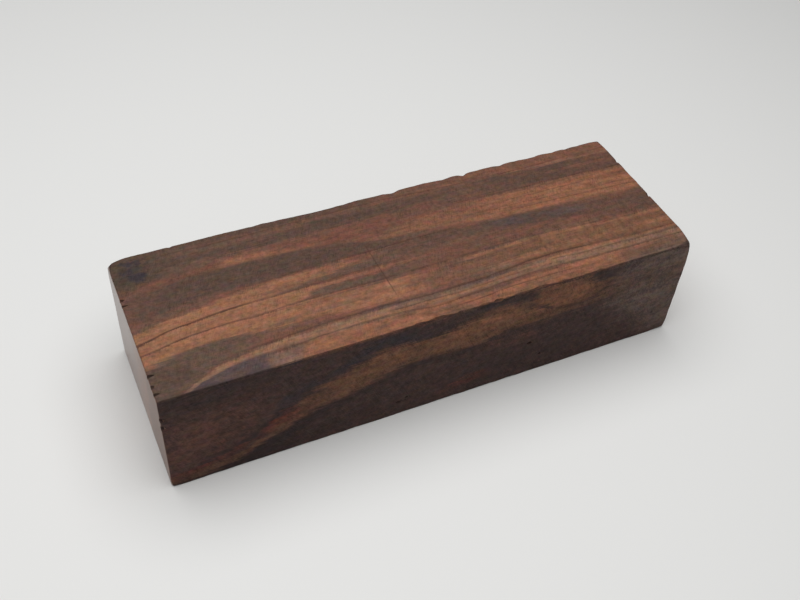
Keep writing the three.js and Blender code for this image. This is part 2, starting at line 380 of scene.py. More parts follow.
    Mark("line under grey band", Tone.LINE_BROWN,
         ((26, 18), (36, 17.8), (45, 17.7), (60, 17.4), (70, 17.2), (84, 17.6)), half=0.25,
         strength=((26, 0), (36, 0.35), (50, 0.45), (70, 0.5), (84, 0)), soft=0.8, feather=0.12),
    Mark("light spot middle", Tone.LIGHT_ORANGE, ((54, 32.6), (66, 32.9)), half=0.9,
         strength=((50, 0), (56, 0.6), (62, 0.7), (66, 0)), soft=0.7),
    Mark("light spot right", Tone.TAN, ((78, 33), (88, 32.7)), half=0.8,
         strength=((78, 0), (81, 0.5), (85, 0.5), (88, 0)), soft=0.7),
    Mark("green shadow", Tone.GREEN_BLACK, ((44, 3.9), (50, 4.1), (60, 5.2), (70, 3.6)),
         half=((44, 0.5), (50, 0.9), (70, 0.6)),
         strength=((45.5, 0), (48, 0.85), (51.5, 0.7), (54, 0.35), (66, 0.3), (71, 0)), soft=0.7),
)

FRONT_MARKS = (
    # This ground lies over the whole front face: partly its own darker layers, partly painted shade.
    Mark("front ground with painted shade", Tone.PLUM, ((0, 23.6), (130, 23.6)), half=23, strength=1, soft=0.04, feather=0,
         patchy=0),
    Mark("brown left", Tone.RED_BROWN, ((0, 16), (10, 15), (20, 12), (27, 8)), half=7,
         strength=((0, 0.35), (8, 0.4), (18, 0.3), (30, 0)), soft=0.8, feather=1, patchy=0.5),
    Mark("dark upper left", Tone.VEIN_BLACK, ((0, 1.5), (30, 2.5)), half=4,
         strength=((0, 0.3), (5, 0.55), (22, 0.5), (31, 0)), soft=0.8, feather=1, patchy=0.8),
    Mark("ash right", Tone.ASH_BROWN, ((105, 8), (130, 10)), half=((105, 8), (130, 22)),
         strength=((102, 0), (110, 0.4), (120, 0.75), (130, 0.75)), soft=0.6, feather=1.4, patchy=0.4),
    Mark("stripe below the red", Tone.BAND_BROWN,
         ((0, 28.2), (10, 27.3), (15, 26.2), (20, 24.3), (25, 22), (31, 19.4)), half=1.2,
         strength=((0, 0.35), (12, 0.5), (25, 0.6), (31, 0.4), (36, 0)), soft=0.6, feather=0.6),
    Mark("band", Tone.BAND_BROWN,
         ((20, 21.5), (28, 17.6), (32, 15.6), (36, 14.2), (40, 13.1), (45, 11.3), (50, 10), (55, 9.1),
          (60, 9.4), (65, 9.4), (70, 9), (75, 8.1), (80, 7.3), (85, 7.7), (90, 8), (97, 6.6), (104, 7),
          (112, 8)),
         half=((20, 1), (28, 1.8), (32, 3), (40, 4), (50, 4.4), (55, 3.8), (60, 3), (65, 3.5), (70, 4.5),
          (75, 4.9), (80, 4.3), (85, 3.6), (90, 4), (97, 4.9), (104, 4), (112, 3)),
         strength=((18, 0), (24, 0.5), (34, 0.65), (45, 0.8), (60, 0.85), (78, 1), (90, 0.85),
          (102, 0.75), (110, 0.45), (124, 0.2)), soft=0.42, feather=0.8, patchy=0.35),
    Mark("crest of the band", Tone.ORANGE, ((44, 9), (51, 7.2), (58, 8.2), (66, 7.8), (74, 7), (80, 6.6)),
         half=1.7, strength=((44, 0), (51, 0.4), (58, 0.15), (68, 0.5), (75, 0.75), (80, 0.4), (88, 0)),
         soft=0.8, feather=0.8, patchy=0.4),
    Mark("red in the band", Tone.BAND_RED,
         ((0, 26.8), (8, 25.6), (14, 23.9), (20, 21.5), (25, 18), (29, 17), (35, 17.2)),
         half=((0, 0.9), (20, 1), (26, 1.8), (35, 1.4)),
         strength=((0, 0.3), (12, 0.4), (20, 0.4), (25, 0.6), (29, 0.5), (37, 0)), soft=0.8, feather=0.7,
         patchy=0.4),
    Mark("orange right of the band", Tone.ORANGE, ((88, 3), (95, 4.2), (102, 5)),
         half=((88, 2.5), (95, 4), (102, 4)), strength=((86, 0), (91, 0.5), (100, 0.5), (105, 0)),
         soft=0.6, feather=1, patchy=0.5),
    Mark("vein over the band", Tone.BLUE_BLACK,
         ((25, 13.8), (28, 12), (31, 10.2), (36, 9), (41, 7.1), (45, 4.6), (50, 3), (55, 2.9), (60, 4.4),
          (65, 3.7), (70, 1.7), (78, 1.1), (86, 1.1)),
         half=((25, 1.6), (31, 2), (36, 1), (41, 1), (46, 1.8), (54, 1.8), (60, 1.5), (66, 1), (72, 1),
          (86, 0.8)),
         strength=((24, 0), (28, 0.65), (33, 0.5), (38, 0.55), (48, 0.75), (56, 0.6), (61, 0.55),
          (66, 0.4), (74, 0.45), (84, 0.35), (90, 0)), soft=0.7, feather=0.7, patchy=0.8),
    Mark("dark line left", Tone.VEIN_BLACK,
         ((2, 25.6), (8, 24.2), (14, 22.6), (20, 20), (24, 16.8), (27, 14.5)), half=0.65,
         strength=((2, 0), (8, 0.5), (14, 0.7), (24, 0.7), (29, 0)), soft=0.7, feather=0.5),
    Mark("foot of the band", Tone.VEIN_BLACK,
         ((10, 29.9), (16, 28.8), (22, 26.2), (27, 23.8), (32, 21.3), (38, 19.1), (44, 17.3), (50, 15.7),
          (56, 13.9), (62, 13.3), (68, 14.5), (73, 14.7), (80, 12.9), (88, 13), (97, 12.6), (105, 12.2),
          (115, 12)), half=((10, 1.2), (22, 1.8), (30, 2), (38, 1.4), (60, 1.2), (115, 1)),
         strength=((8, 0.4), (18, 0.85), (30, 0.85), (44, 0.6), (60, 0.6), (75, 0.5), (95, 0.5),
          (110, 0.3), (120, 0.1)), soft=0.7, feather=0.7, patchy=0.5),
    Mark("blue foot left", Tone.VEIN_BLACK, ((8, 30), (18, 28.7), (26, 27.5)), half=2,
         strength=((10, 0), (16, 0.8), (26, 0.7), (34, 0)), soft=0.6, feather=1),
    Mark("brown under the foot", Tone.RED_BROWN, ((72, 15.5), (84, 15.5), (92, 16)), half=1.8,
         strength=((70, 0), (84, 0.35), (94, 0)), soft=0.8, feather=1, patchy=0.5),
    Mark("dark eye right", Tone.VEIN_BLACK, ((100, 1.6), (106, 2.2), (112, 3.4)), half=1,
         strength=((101, 0), (105, 0.55), (110, 0.35), (114, 0)), soft=0.7, feather=1, patchy=0.5),
    Mark("line right", Tone.VEIN_BLACK,
         ((80, 3.6), (86, 5.2), (91, 6.8), (95, 9), (100, 9.7), (104, 8.8), (108, 7.3), (114, 7),
          (120, 8), (130, 10)), half=0.6,
         strength=((80, 0), (87, 0.45), (93, 0.65), (105, 0.6), (112, 0.4), (130, 0.25)), soft=0.7,
         feather=0.6),
    Mark("low red streak", Tone.BAND_RED, ((63, 27.3), (68, 25.8), (72, 25), (78, 24.2)), half=1.2,
         strength=((62, 0), (68, 0.3), (73, 0.42), (80, 0)), soft=0.8, feather=1),
    Mark("dark foot left", Tone.VEIN_BLACK, ((28, 26), (40, 25), (54, 22)), half=3,
         strength=((28, 0), (38, 0.4), (48, 0.3), (56, 0)), soft=0.8, feather=1.5, patchy=0.6),
    # Dark along the front top arris: partly its crumbled edge, partly painted shade that dulls the arris
    # highlight.
    Mark("dark arris with painted shade", Tone.VEIN_BLACK, ((0, 0.3), (130, 0.3)), half=0.5,
         strength=((0, 0.8), (28, 0.7), (40, 0.35), (58, 0.5), (70, 0.85), (90, 0.8), (105, 0.6),
          (130, 0.4)), soft=0.6, feather=0.6, patchy=0.7),
    Mark("dark lower right", Tone.VEIN_BLACK, ((60, 20), (95, 22), (130, 20)), half=((60, 4), (130, 5)),
         strength=((58, 0), (68, 0.15), (80, 0.3), (92, 0.35), (108, 0.15), (118, 0)), soft=0.8,
         feather=1.5, patchy=0.8),
)

BACK_MARKS = (
    Mark("back dark vein", Tone.LINE_BROWN, ((0, 8), (30, 11), (60, 9), (95, 14), (130, 12)), half=0.7,
         strength=0.4, soft=0.8, feather=0.8, patchy=0.5),
    Mark("back grey band", Tone.DARK_GREY, ((0, 20), (40, 24), (80, 20), (130, 25)),
         half=((0, 4), (60, 6), (130, 4)), strength=0.7, soft=0.5, feather=1.5, patchy=0.6),
)

FIGURE = {Side.TOP: TOP_MARKS, Side.FRONT: FRONT_MARKS, Side.BACK: BACK_MARKS}

KNOT_LOBES = (
    Lobe(Place(4.6, 5.8, 0.0), (3.2, 3.4, 3.0), 0.5),
    Lobe(Place(4.2, 2.3, 0.0), (2.6, 0.8, 3.0), 0.8),
    Lobe(Place(6.2, 3.6, 0.0), (0.9, 1.7, 3.0), 0.7),
    Lobe(Place(3.8, 5.3, 0.0), (2.0, 1.2, 3.0), 0.9),
    Lobe(Place(5.3, 7.2, 0.0), (2.3, 1.7, 3.0), 1.0),
)


class Bench:
    """Lays out and joins the nodes of one shader tree."""

    NOISE_SPREAD = 5.0

    def __init__(self, tree: bpy.types.NodeTree) -> None:
        """Takes the tree to work on."""
        self.tree = tree

    def add(self, kind: str, **settings: object) -> bpy.types.Node:
        """Adds a node.

        Args:
            kind: The node's type name.
            settings: Properties to set on it.

        Returns:
            The new node.
        """
        made = self.tree.nodes.new(kind)
        for name, value in settings.items():
            setattr(made, name, value)
        return made

    def feed(self, socket: bpy.types.NodeSocket, value: object) -> None:
        """Joins another socket to an input, or sets the input's own value.

        Args:
            socket: The input.
            value: An output socket, or a number, vector or colour.
        """
        if isinstance(value, bpy.types.NodeSocket):
            self.tree.links.new(value, socket)
        else:
            socket.default_value = value

    def math(self, operation: str, *values: object, clamp: bool = False) -> bpy.types.NodeSocket:
        """A sum of numbers.

        Args:
            operation: Name of the operation.
            values: Its operands, sockets or numbers.
            clamp: Whether the result is held between 0 and 1.

        Returns:
            The result.
        """
        made = self.add("ShaderNodeMath", operation=operation, use_clamp=clamp)
        for socket, value in zip(made.inputs, values):
            self.feed(socket, value)
        return made.outputs[0]

    def span(
        self,
        value: object,
        start: object,
        end: object,
        low: float = 0.0,
        high: float = 1.0,
        smooth: bool = True,
    ) -> bpy.types.NodeSocket:
        """Maps a number from one span to another, held at both ends.

        Args:
            value: The number.
            start: Where the result is low.
            end: Where the result is high.
            low: The result at the start.
            high: The result at the end.
            smooth: Whether the way between is eased.

        Returns:
            The mapped number.
        """
        kind = "SMOOTHSTEP" if smooth else "LINEAR"
        made = self.add("ShaderNodeMapRange", interpolation_type=kind)
        for socket, given in zip(made.inputs, (value, start, end, low, high)):
            self.feed(socket, given)
        return made.outputs[0]

    def window(
        self, value: object, rise: tuple[float, float], fall: tuple[float, float]
    ) -> bpy.types.NodeSocket:
        """Tells where a number lies between two places, eased at both.

        Args:
            value: The number.
            rise: Where the result goes from 0 to 1.
            fall: Where it goes from 1 back to 0.

        Returns:
            A mask.
        """
        return self.math("MULTIPLY", self.span(value, *rise), self.span(value, *fall, 1.0, 0.0))

    def blend(self, share: object, under: object, over: object, kind: str = "MIX") -> bpy.types.NodeSocket:
        """Lays one colour over another.

        Args:
            share: How much of the upper colour shows.
            under: The lower colour.
            over: The upper colour.
            kind: How they blend.

        Returns:
            The blended colour.
        """
        made = self.add("ShaderNodeMix", data_type="RGBA", blend_type=kind, clamp_factor=True)
        self.feed(made.inputs["Factor"], share)
        self.feed(made.inputs[6], under)
        self.feed(made.inputs[7], over)
        return made.outputs[2]

    def mix(self, share: object, first: object, second: object) -> bpy.types.NodeSocket:
        """One number that turns into another.

        Args:
            share: How much of the second number there is.
            first: The first number.
            second: The second number.

        Returns:
            The number between them.
        """
        made = self.add("ShaderNodeMix", data_type="FLOAT")
        for socket, value in zip(made.inputs[0:1] + made.inputs[2:4], (share, first, second)):
            self.feed(socket, value)
        return made.outputs[0]

    def vector(self, operation: str, *values: object) -> bpy.types.NodeSocket:
        """A sum of vectors.

        Args:
            operation: Name of the operation.
            values: Its operands. For SCALE, the second one is a number.

        Returns:
            The result.
        """
        made = self.add("ShaderNodeVectorMath", operation=operation)
        sockets = [made.inputs[0], made.inputs["Scale"]] if operation == "SCALE" else made.inputs
        for socket, value in zip(sockets, values):
            self.feed(socket, value)
        return made.outputs["Value"] if operation == "LENGTH" else made.outputs["Vector"]

    def join(self, x: object, y: object, z: object) -> bpy.types.NodeSocket:
        """A vector from three numbers."""
        made = self.add("ShaderNodeCombineXYZ")
        for socket, value in zip(made.inputs, (x, y, z)):
            self.feed(socket, value)
        return made.outputs[0]

    def split(self, vector: object) -> list[bpy.types.NodeSocket]:
        """The three numbers of a vector."""
        made = self.add("ShaderNodeSeparateXYZ")
        self.feed(made.inputs[0], vector)
        return list(made.outputs)

    def clouds(
        self, vector: object, scale: float = 1.0, detail: object = 2.0, rough: float = 0.5
    ) -> bpy.types.NodeSocket:
        """Soft random noise from 0 to 1.

        Args:
            vector: Where it is read.
            scale: How fine it is.
            detail: How many finer octaves it has.
            rough: How strong those are.

        Returns:
            The noise.
        """
        made = self.add("ShaderNodeTexNoise")
        for name, value in zip(("Vector", "Scale", "Detail", "Roughness"), (vector, scale, detail, rough)):
            self.feed(made.inputs[name], value)
        return made.outputs["Fac"]

    def tints(self, vector: object, scale: float, detail: float) -> bpy.types.NodeSocket:
        """Three unlike soft noises from 0 to 1, as the parts of a colour."""
        return self.clouds(vector, scale, detail).node.outputs["Color"]

    def signed(self, noise_value: bpy.types.NodeSocket) -> bpy.types.NodeSocket:
        """Spreads noise from 0 to 1, which stays near its middle, to about -1 to 1."""
        return self.math("MULTIPLY_ADD", noise_value, self.NOISE_SPREAD, -self.NOISE_SPREAD / 2)

    def use(self, group: bpy.types.NodeTree, **values: object) -> bpy.types.Node:
        """Places a shared group.

        Args:
            group: The group's tree.
            values: Its inputs by name, with spaces told as underscores.

        Returns:
            The group's node.
        """
        made = self.add("ShaderNodeGroup", node_tree=group)
        for name, value in values.items():
            self.feed(made.inputs[name.replace("_", " ")], value)
        return made


class SocketKind(Enum):
    """Kinds of socket that a shared group can have."""

    NUMBER = "NodeSocketFloat"
    VECTOR = "NodeSocketVector"
    COLOUR = "NodeSocketColor"


class SharedGroup:
    """A shader node group with named inputs and outputs, built once."""

    def __init__(self, name: str, inputs: dict[str, SocketKind], outputs: dict[str, SocketKind]) -> None:
        """Makes an empty group.

        Args:
            name: The group's name.
            inputs: Its inputs by name.
            outputs: Its outputs by name.
        """
        self.tree = bpy.data.node_groups.new(name, "ShaderNodeTree")
        for socket, kind in inputs.items():
            self.tree.interface.new_socket(socket, in_out="INPUT", socket_type=kind.value)
        for socket, kind in outputs.items():
            self.tree.interface.new_socket(socket, in_out="OUTPUT", socket_type=kind.value)
        self.bench = Bench(self.tree)
        self.given = self.bench.add("NodeGroupInput").outputs
        self.result = self.bench.add("NodeGroupOutput").inputs

    def put(self, name: str, value: bpy.types.NodeSocket) -> None:
        """Gives one of the group's outputs its value."""
        self.bench.feed(self.result[name], value)


@dataclass
class SawnBlock:
    """The block's surface: six sawn faces, worn arrises, knocked corners, chips and pits, in millimetres.

    A swing is how much the arris radius comes and goes, a pitch how far apart its bumps are, and a reach how
    far from the arris they are felt. The ragged fields tell the far top arris, which gets ragged towards
    the right, and the near fields the near top arris, which is most ragged between two places.
    """

    HASH_WAY = (127.1, 311.7, 74.7)
    HASH_SIZE = 43758.5453

    length: float = 130.0
    width: float = 42.9
    height: float = 29.8
    cells: tuple[int, int, int] = (330, 72, 46)
    arris_lines: tuple[float, ...] = (0.07, 0.16, 0.28, 0.45, 0.7, 1.1, 1.7, 2.5)
    arris_radius: float = 0.32
    arris_swing: float = 0.17
    arris_pitch: float = 3.1
    fray_swing: float = 0.07
    fray_pitch: float = 0.8
    ragged_swing: float = 0.4
    ragged_pitch: float = 1.9
    ragged_from: float = 55.0
    near_swing: float = 0.55
    near_pitch: float = 1.3
    near_from: float = 46.0
    near_to: float = 116.0
    near_reach: float = 0.7
    near_bias: float = 0.2
    near_ease: float = 10.0
    near_least: float = 0.15
    breakout_reach: float = 2.0
    fray_sizes: tuple[float, float] = (0.45, 1.15)
    chip_clearance: float = 1.25
    fine_chip: float = 0.75
    chip_power: float = 1.4
    chip_roughness: float = 0.16
    chip_grain: float = 2.1
    chip_step: float = 3.7
    sharp_angle: float = math.radians(38)
    end_depth: float = 2.0
    sheet_gap: float = 1.5
    seed: int = 7

    @property
    def half(self) -> np.ndarray:
        """Half of each side, in millimetres."""
        return np.array([self.length, self.width, self.height]) / 2

    @property
    def knocks(self) -> tuple[Knock, ...]:
        """The corners knocked rounder than the arrises."""
        return (
            Knock(Place(self.length, self.width, 0), 1.45, 3.2),
            Knock(Place(0, 0, 0), 1.4, 2.6),
            Knock(Place(0, self.width, self.height), 0.3, 1.8),
            Knock(Place(self.length, self.width, self.height), 0.4, 2.0),
            Knock(Place(self.length, 0, 0), 0.35, 2.0),
        )

    @property
    def breakouts(self) -> tuple[Breakout, ...]:
        """Stretches of the far top arris that the saw broke out."""
        return (
            Breakout(48.0, 6.5, 0.75),
            Breakout(53.2, 2.4, 0.35),
            Breakout(64.0, 9.0, 0.3),
            Breakout(70.0, 1.3, 0.6),
            Breakout(84.4, 1.7, 0.5),
            Breakout(89.6, 1.0, 1.1),
            Breakout(100.0, 1.0, 0.5),
            Breakout(108.6, 2.4, 0.6),
            Breakout(119.5, 5.5, 0.35),
        )

    @property
    def chips(self) -> tuple[Chip, ...]:
        """Splinters lost from the arrises, and pits and a short check in the front face."""
        front = self.width
        return (
            Chip(Place(0, 13.1, 0), (1.1, 0.5, 0.8)),
            Chip(Place(0, 14.9, 0), (1.5, 0.35, 0.6)),
            Chip(Place(0, 35.8, 0), (1.6, 0.45, 0.9)),
            Chip(Place(0, 38.8, 0), (0.9, 0.6, 0.7)),
            Chip(Place(0, 40.9, 0), (1.3, 0.4, 0.8)),
            Chip(Place(0, front, 6.1), (1.0, 0.8, 0.75)),
            Chip(Place(0, front, 8.8), (0.9, 0.8, 0.9)),
            Chip(Place(14.3, 0, 0), (0.9, 0.45, 0.6)),
            Chip(Place(69.8, 0, 0), (0.9, 0.75, 0.8)),
            Chip(Place(89.6, 0, 0), (0.8, 1.0, 1.0)),
            Chip(Place(62.5, front, 0), (3.4, 0.6, 0.8)),
            Chip(Place(77.0, front, 0), (1.4, 0.6, 0.7)),
            Chip(Place(88.2, front, 0), (2.8, 0.7, 0.8)),
            Chip(Place(self.length, 24.0, 0), (0.8, 0.8, 0.6)),
            Chip(Place(self.length, 9.6, 0), (0.7, 0.9, 0.6)),
            Chip(Place(88.0, front, 18.8), (0.85, 0.7, 0.5)),
            Chip(Place(91.6, front, 24.1), (0.55, 0.5, 0.35)),
            Chip(Place(54.1, front, 25.3), (0.95, 0.5, 0.3)),
            Chip(Place(56.0, front, 24.4), (0.65, 0.5, 0.3)),
        )

    @property
    def frays(self) -> tuple[Fray, ...]:
        """Arrises that are frayed with tiny chips."""
        front, end = self.width, self.length
        return (
            Fray(Place(4, front, 0), Place(end - 4, front, 0), 60, (0.7, 0.2, 0.22)),
            Fray(Place(52, front, 0), Place(114, front, 0), 60, (0.4, 0.3, 0.3)),
            Fray(Place(30, 0, 0), Place(end - 3, 0, 0), 60, (0.55, 0.3, 0.3)),
            Fray(Place(0, 3, 0), Place(0, front - 4, 0), 16, (0.4, 0.25, 0.22)),
            Fray(Place(end, 3, 0), Place(end, front - 5, 0), 40, (0.22, 0.25, 0.25)),
            Fray(Place(5, front, self.height), Place(end - 5, front, self.height), 30, (0.6, 0.2, 0.2)),
            Fray(Place(5, 0, self.height), Place(end - 5, 0, self.height), 30, (0.6, 0.2, 0.2)),
        )

    def point(self, place: Place) -> np.ndarray:
        """A place on the block as a point of the shared frame, in millimetres."""
        return np.array(
            [place.left - self.length / 2, self.width / 2 - place.back, self.height - place.below]
        )

    @classmethod
    def draws(cls, cell: np.ndarray) -> np.ndarray:
        """One number from -1 to 1 for each whole-number cell.

        Args:
            cell: Cell numbers, three to a row.

        Returns:
            A number for each row.
        """
        mixed = np.sin(cell @ np.array(cls.HASH_WAY)) * cls.HASH_SIZE
        return 2 * (mixed - np.floor(mixed)) - 1

    @classmethod
    def bumps(cls, at: np.ndarray) -> np.ndarray:
        """Smooth random field from -1 to 1, with bumps about one unit apart.

        Args:
            at: Points, three numbers to a row.

        Returns:
            The field at each point.
        """
        cell = np.floor(at)
        share = at - cell
        share = share * share * (3 - 2 * share)
        total = np.zeros(len(at))
        for corner in range(8):
            step = np.array([corner & 1, (corner >> 1) & 1, (corner >> 2) & 1])
            weight = np.prod(np.where(step == 1, share, 1 - share), axis=1)
            total += weight * cls.draws(cell + step)
        return total

    @classmethod
    def steps(cls, along: np.ndarray, *row: float) -> np.ndarray:
        """Smooth random steps from -1 to 1 along one line.

        Args:
            along: Places on the line, with steps about one unit apart.
            row: Two numbers that tell this line's steps from others.

        Returns:
            The step at each place.
        """
        return cls.bumps(np.stack([along, *(np.full_like(along, number) for number in row)], axis=1))

    def grid_lines(self, axis: int) -> np.ndarray:
        """Places of the grid lines along one axis, close beside both arrises and even in between.

        Args:
            axis: 0, 1 or 2.

        Returns:
            The places, from the negative half side to the positive one.
        """
        half = self.half[axis]
        insets = np.array((0.0, *self.arris_lines))
        middle = np.linspace(
            insets[-1] - half, half - insets[-1], self.cells[axis] - 2 * len(self.arris_lines) + 1
        )
        return np.concatenate([insets[:-1] - half, middle, half - insets[:-1][::-1]])

    def worn_radius(self, at: np.ndarray) -> np.ndarray:
        """How round the nearest arris is at points of the block's surface.

        Args:
            at: Points of the shared frame, in millimetres.

        Returns:
            A radius for each point.
        """
        radius = self.arris_radius + self.arris_swing * self.bumps(at / self.arris_pitch)
        radius += self.fray_swing * self.bumps(at / self.fray_pitch + 19)

        left = at[:, 0] + self.length / 2
        ease = np.clip(left / self.ragged_from, 0, 1)
        ragged = self.ragged_swing * ease * ease * (3 - 2 * ease)
        broken = ragged * np.maximum(0, self.steps(left / self.ragged_pitch, 7, 3))
        for breakout in self.breakouts:
            broken += breakout.radius * np.exp(-(((left - breakout.left) / breakout.half) ** 2))
        away = np.hypot(at[:, 1] - self.width / 2, at[:, 2] - self.height) / self.breakout_reach
        radius += broken * np.exp(-(away**2))

        ends = np.minimum(left - self.near_from, self.near_to - left) / self.near_ease
        broken = self.near_swing * np.clip(ends, self.near_least, 1)
        broken = broken * np.maximum(0, self.steps(left / self.near_pitch, 3, 11) + self.near_bias)
        away = np.hypot(at[:, 1] + self.width / 2, at[:, 2] - self.height) / self.near_reach
        radius += broken * np.exp(-(away**2))

        for knock in self.knocks:
            away = np.linalg.norm(at - self.point(knock.at), axis=1) / knock.reach
            radius += knock.radius * np.exp(-(away**2))
        return radius

    def shell(self) -> tuple[np.ndarray, np.ndarray]:
        """The worn block before its chips.

        Returns:
            Its points in millimetres, and its four-cornered faces as rows of point numbers.
        """
        lines = [self.grid_lines(axis) for axis in range(3)]
        shape = tuple(len(line) for line in lines)
        outside = np.ones(shape, bool)
        outside[1:-1, 1:-1, 1:-1] = False
        number = np.full(shape, -1)
        number[outside] = np.arange(outside.sum())
        index = np.nonzero(outside)
        flat = np.stack([lines[axis][index[axis]] for axis in range(3)], axis=1)

        middle = np.array([0, 0, self.height / 2])
        radius = self.worn_radius(flat + middle)[:, None]
        core = np.clip(flat, radius - self.half, self.half - radius)
        out = flat - core
        out /= np.linalg.norm(out, axis=1, keepdims=True)
        points = core + out * radius + middle

        faces = []
        for side in Side:
            sheet = np.take(number, -1 if side.positive else 0, axis=side.axis)
            corners = [sheet[:-1, :-1], sheet[1:, :-1], sheet[1:, 1:], sheet[:-1, 1:]]
            if side.positive == (side.axis == 1):
                corners.reverse()
            faces.append(np.stack(corners, axis=-1).reshape(-1, 4))
        return points, np.concatenate(faces)

    def all_chips(self) -> list[Chip]:
        """The named chips and the tiny ones, none of which touches another.

        Returns:
            The chips.
        """
        rng = np.random.default_rng(self.seed)
        kept = list(self.chips)
        for fray in self.frays:
            start, end = self.point(fray.start), self.point(fray.end)
            for share in np.sort(rng.random(fray.count)):
                at = start + share * (end - start)
                size = rng.uniform(*self.fray_sizes, 3) * np.array(fray.half)
                place = Place(at[0] + self.length / 2, self.width / 2 - at[1], self.height - at[2])
                chip = Chip(place, tuple(size))
                if all(self.apart(chip, other) for other in kept):
                    kept.append(chip)
        return kept

    def apart(self, one: Chip, other: Chip) -> bool:
        """Whether two chips keep clear of each other."""
        gap = np.abs(self.point(one.at) - self.point(other.at))
        reach = np.array(one.half) + np.array(other.half)
        return bool(np.any(gap > self.chip_clearance * reach))

    def cutter(self, chips: Iterable[Chip]) -> bpy.types.Object:
        """Rough lens-shaped solids that cut the chips.

        Args:
            chips: The chips to cut.

        Returns:
            One object that holds a solid for each chip.
        """
        mesh = bpy.data.meshes.new("chip_cutter")
        build = bmesh.new()
        for count, chip in enumerate(chips):
            detail = 3 if max(chip.half) > self.fine_chip else 2
            made = bmesh.ops.create_icosphere(build, subdivisions=detail, radius=1.0)["verts"]
            middle = Vector(self.point(chip.at))
            half = Vector(chip.half)
            for vert in made:
                way = vert.co.normalized()
                squareness = sum(abs(c) ** self.chip_power for c in way) ** (-1 / self.chip_power)
                grain = noise.noise(way * self.chip_grain + Vector((count * self.chip_step, 0, 0)))
                rough = 1 + self.chip_roughness * grain
                vert.co = (middle + way * half * squareness * rough) * MM
        build.to_mesh(mesh)
        build.free()
        cut = bpy.data.objects.new("chip_cutter", mesh)
        bpy.context.collection.objects.link(cut)
        return cut

    def build(self) -> bpy.types.Object:
        """Builds the whole surface.

        Returns:
            The block, its chips cut, with its sheet of flat places for the finish.
        """
        points, faces = self.shell()
        raw = bpy.data.meshes.new("sawn_block")
        raw.from_pydata((points * MM).tolist(), [], faces.tolist())
        block = bpy.data.objects.new("sawn_block", raw)
        bpy.context.collection.objects.link(block)

        cutter = self.cutter(self.all_chips())
        cut = block.modifiers.new("chips", "BOOLEAN")
        cut.operation = "DIFFERENCE"
        cut.solver = "EXACT"
        cut.object = cutter
        bpy.context.view_layer.update()
        seen = block.evaluated_get(bpy.context.evaluated_depsgraph_get())
        done = bpy.data.meshes.new_from_object(seen)
        block.modifiers.clear()
        block.data = done
        done.name = "sawn_block"
        bpy.data.meshes.remove(raw)
        spare = cutter.data
        bpy.data.objects.remove(cutter)
        bpy.data.meshes.remove(spare)

        for face in done.polygons:
            face.use_smooth = True
        done.set_sharp_from_angle(angle=self.sharp_angle)
        self.unfold(done)
        log.info("sawn block: %d points, %d faces", len(done.vertices), len(done.polygons))
        return block

    def unfold(self, mesh: bpy.types.Mesh) -> None:
        """Lays the six faces side by side on one flat sheet, each at the same scale.

        Args:
            mesh: The block's mesh.
        """
        gap = self.sheet_gap
        tall = self.width + gap
        low = self.height + gap
        corner = {
            Side.TOP: (0, 0),
            Side.FRONT: (0, tall),
            Side.BACK: (0, tall + low),
            Side.BASE: (0, tall + 2 * low),
            Side.LEFT_END: (self.length + gap, 0),
            Side.RIGHT_END: (self.length + gap, tall),
        }
        sheet = self.length + gap + self.height + gap
        layer = mesh.uv_layers.new(name="OFBake")
        flat = np.zeros(len(mesh.loops) * 2)
        coords = np.zeros(len(mesh.vertices) * 3)
        mesh.vertices.foreach_get("co", coords)
        coords = coords.reshape(-1, 3) / MM + np.array([self.length / 2, self.width / 2, 0])
        for face in mesh.polygons:
            side = self.side_of(face)
            u0, v0 = corner[side]
            for loop in face.loop_indices:
                x, y, z = coords[mesh.loops[loop].vertex_index]
                u, v = (z, y) if side.axis == 0 else (x, z) if side.axis == 1 else (x, y)
                flat[2 * loop] = (u0 + u + gap / 2) / sheet
                flat[2 * loop + 1] = (v0 + v + gap / 2) / sheet
        layer.data.foreach_set("uv", flat)

    def side_of(self, face: bpy.types.MeshPolygon) -> Side:
        """The sawn face that a small face belongs to.

        Args:
            face: A face of the mesh.

        Returns:
            The side that it looks out of most. Only faces near an end belong to that end.
        """
        pull = [abs(c) for c in face.normal]
        from_end = self.length / 2 - abs(face.center[0] / MM)
        if from_end > self.end_depth:
            pull[0] = 0
        axis = pull.index(max(pull))
        return next(s for s in Side if s.axis == axis and s.positive == (face.normal[axis] > 0))


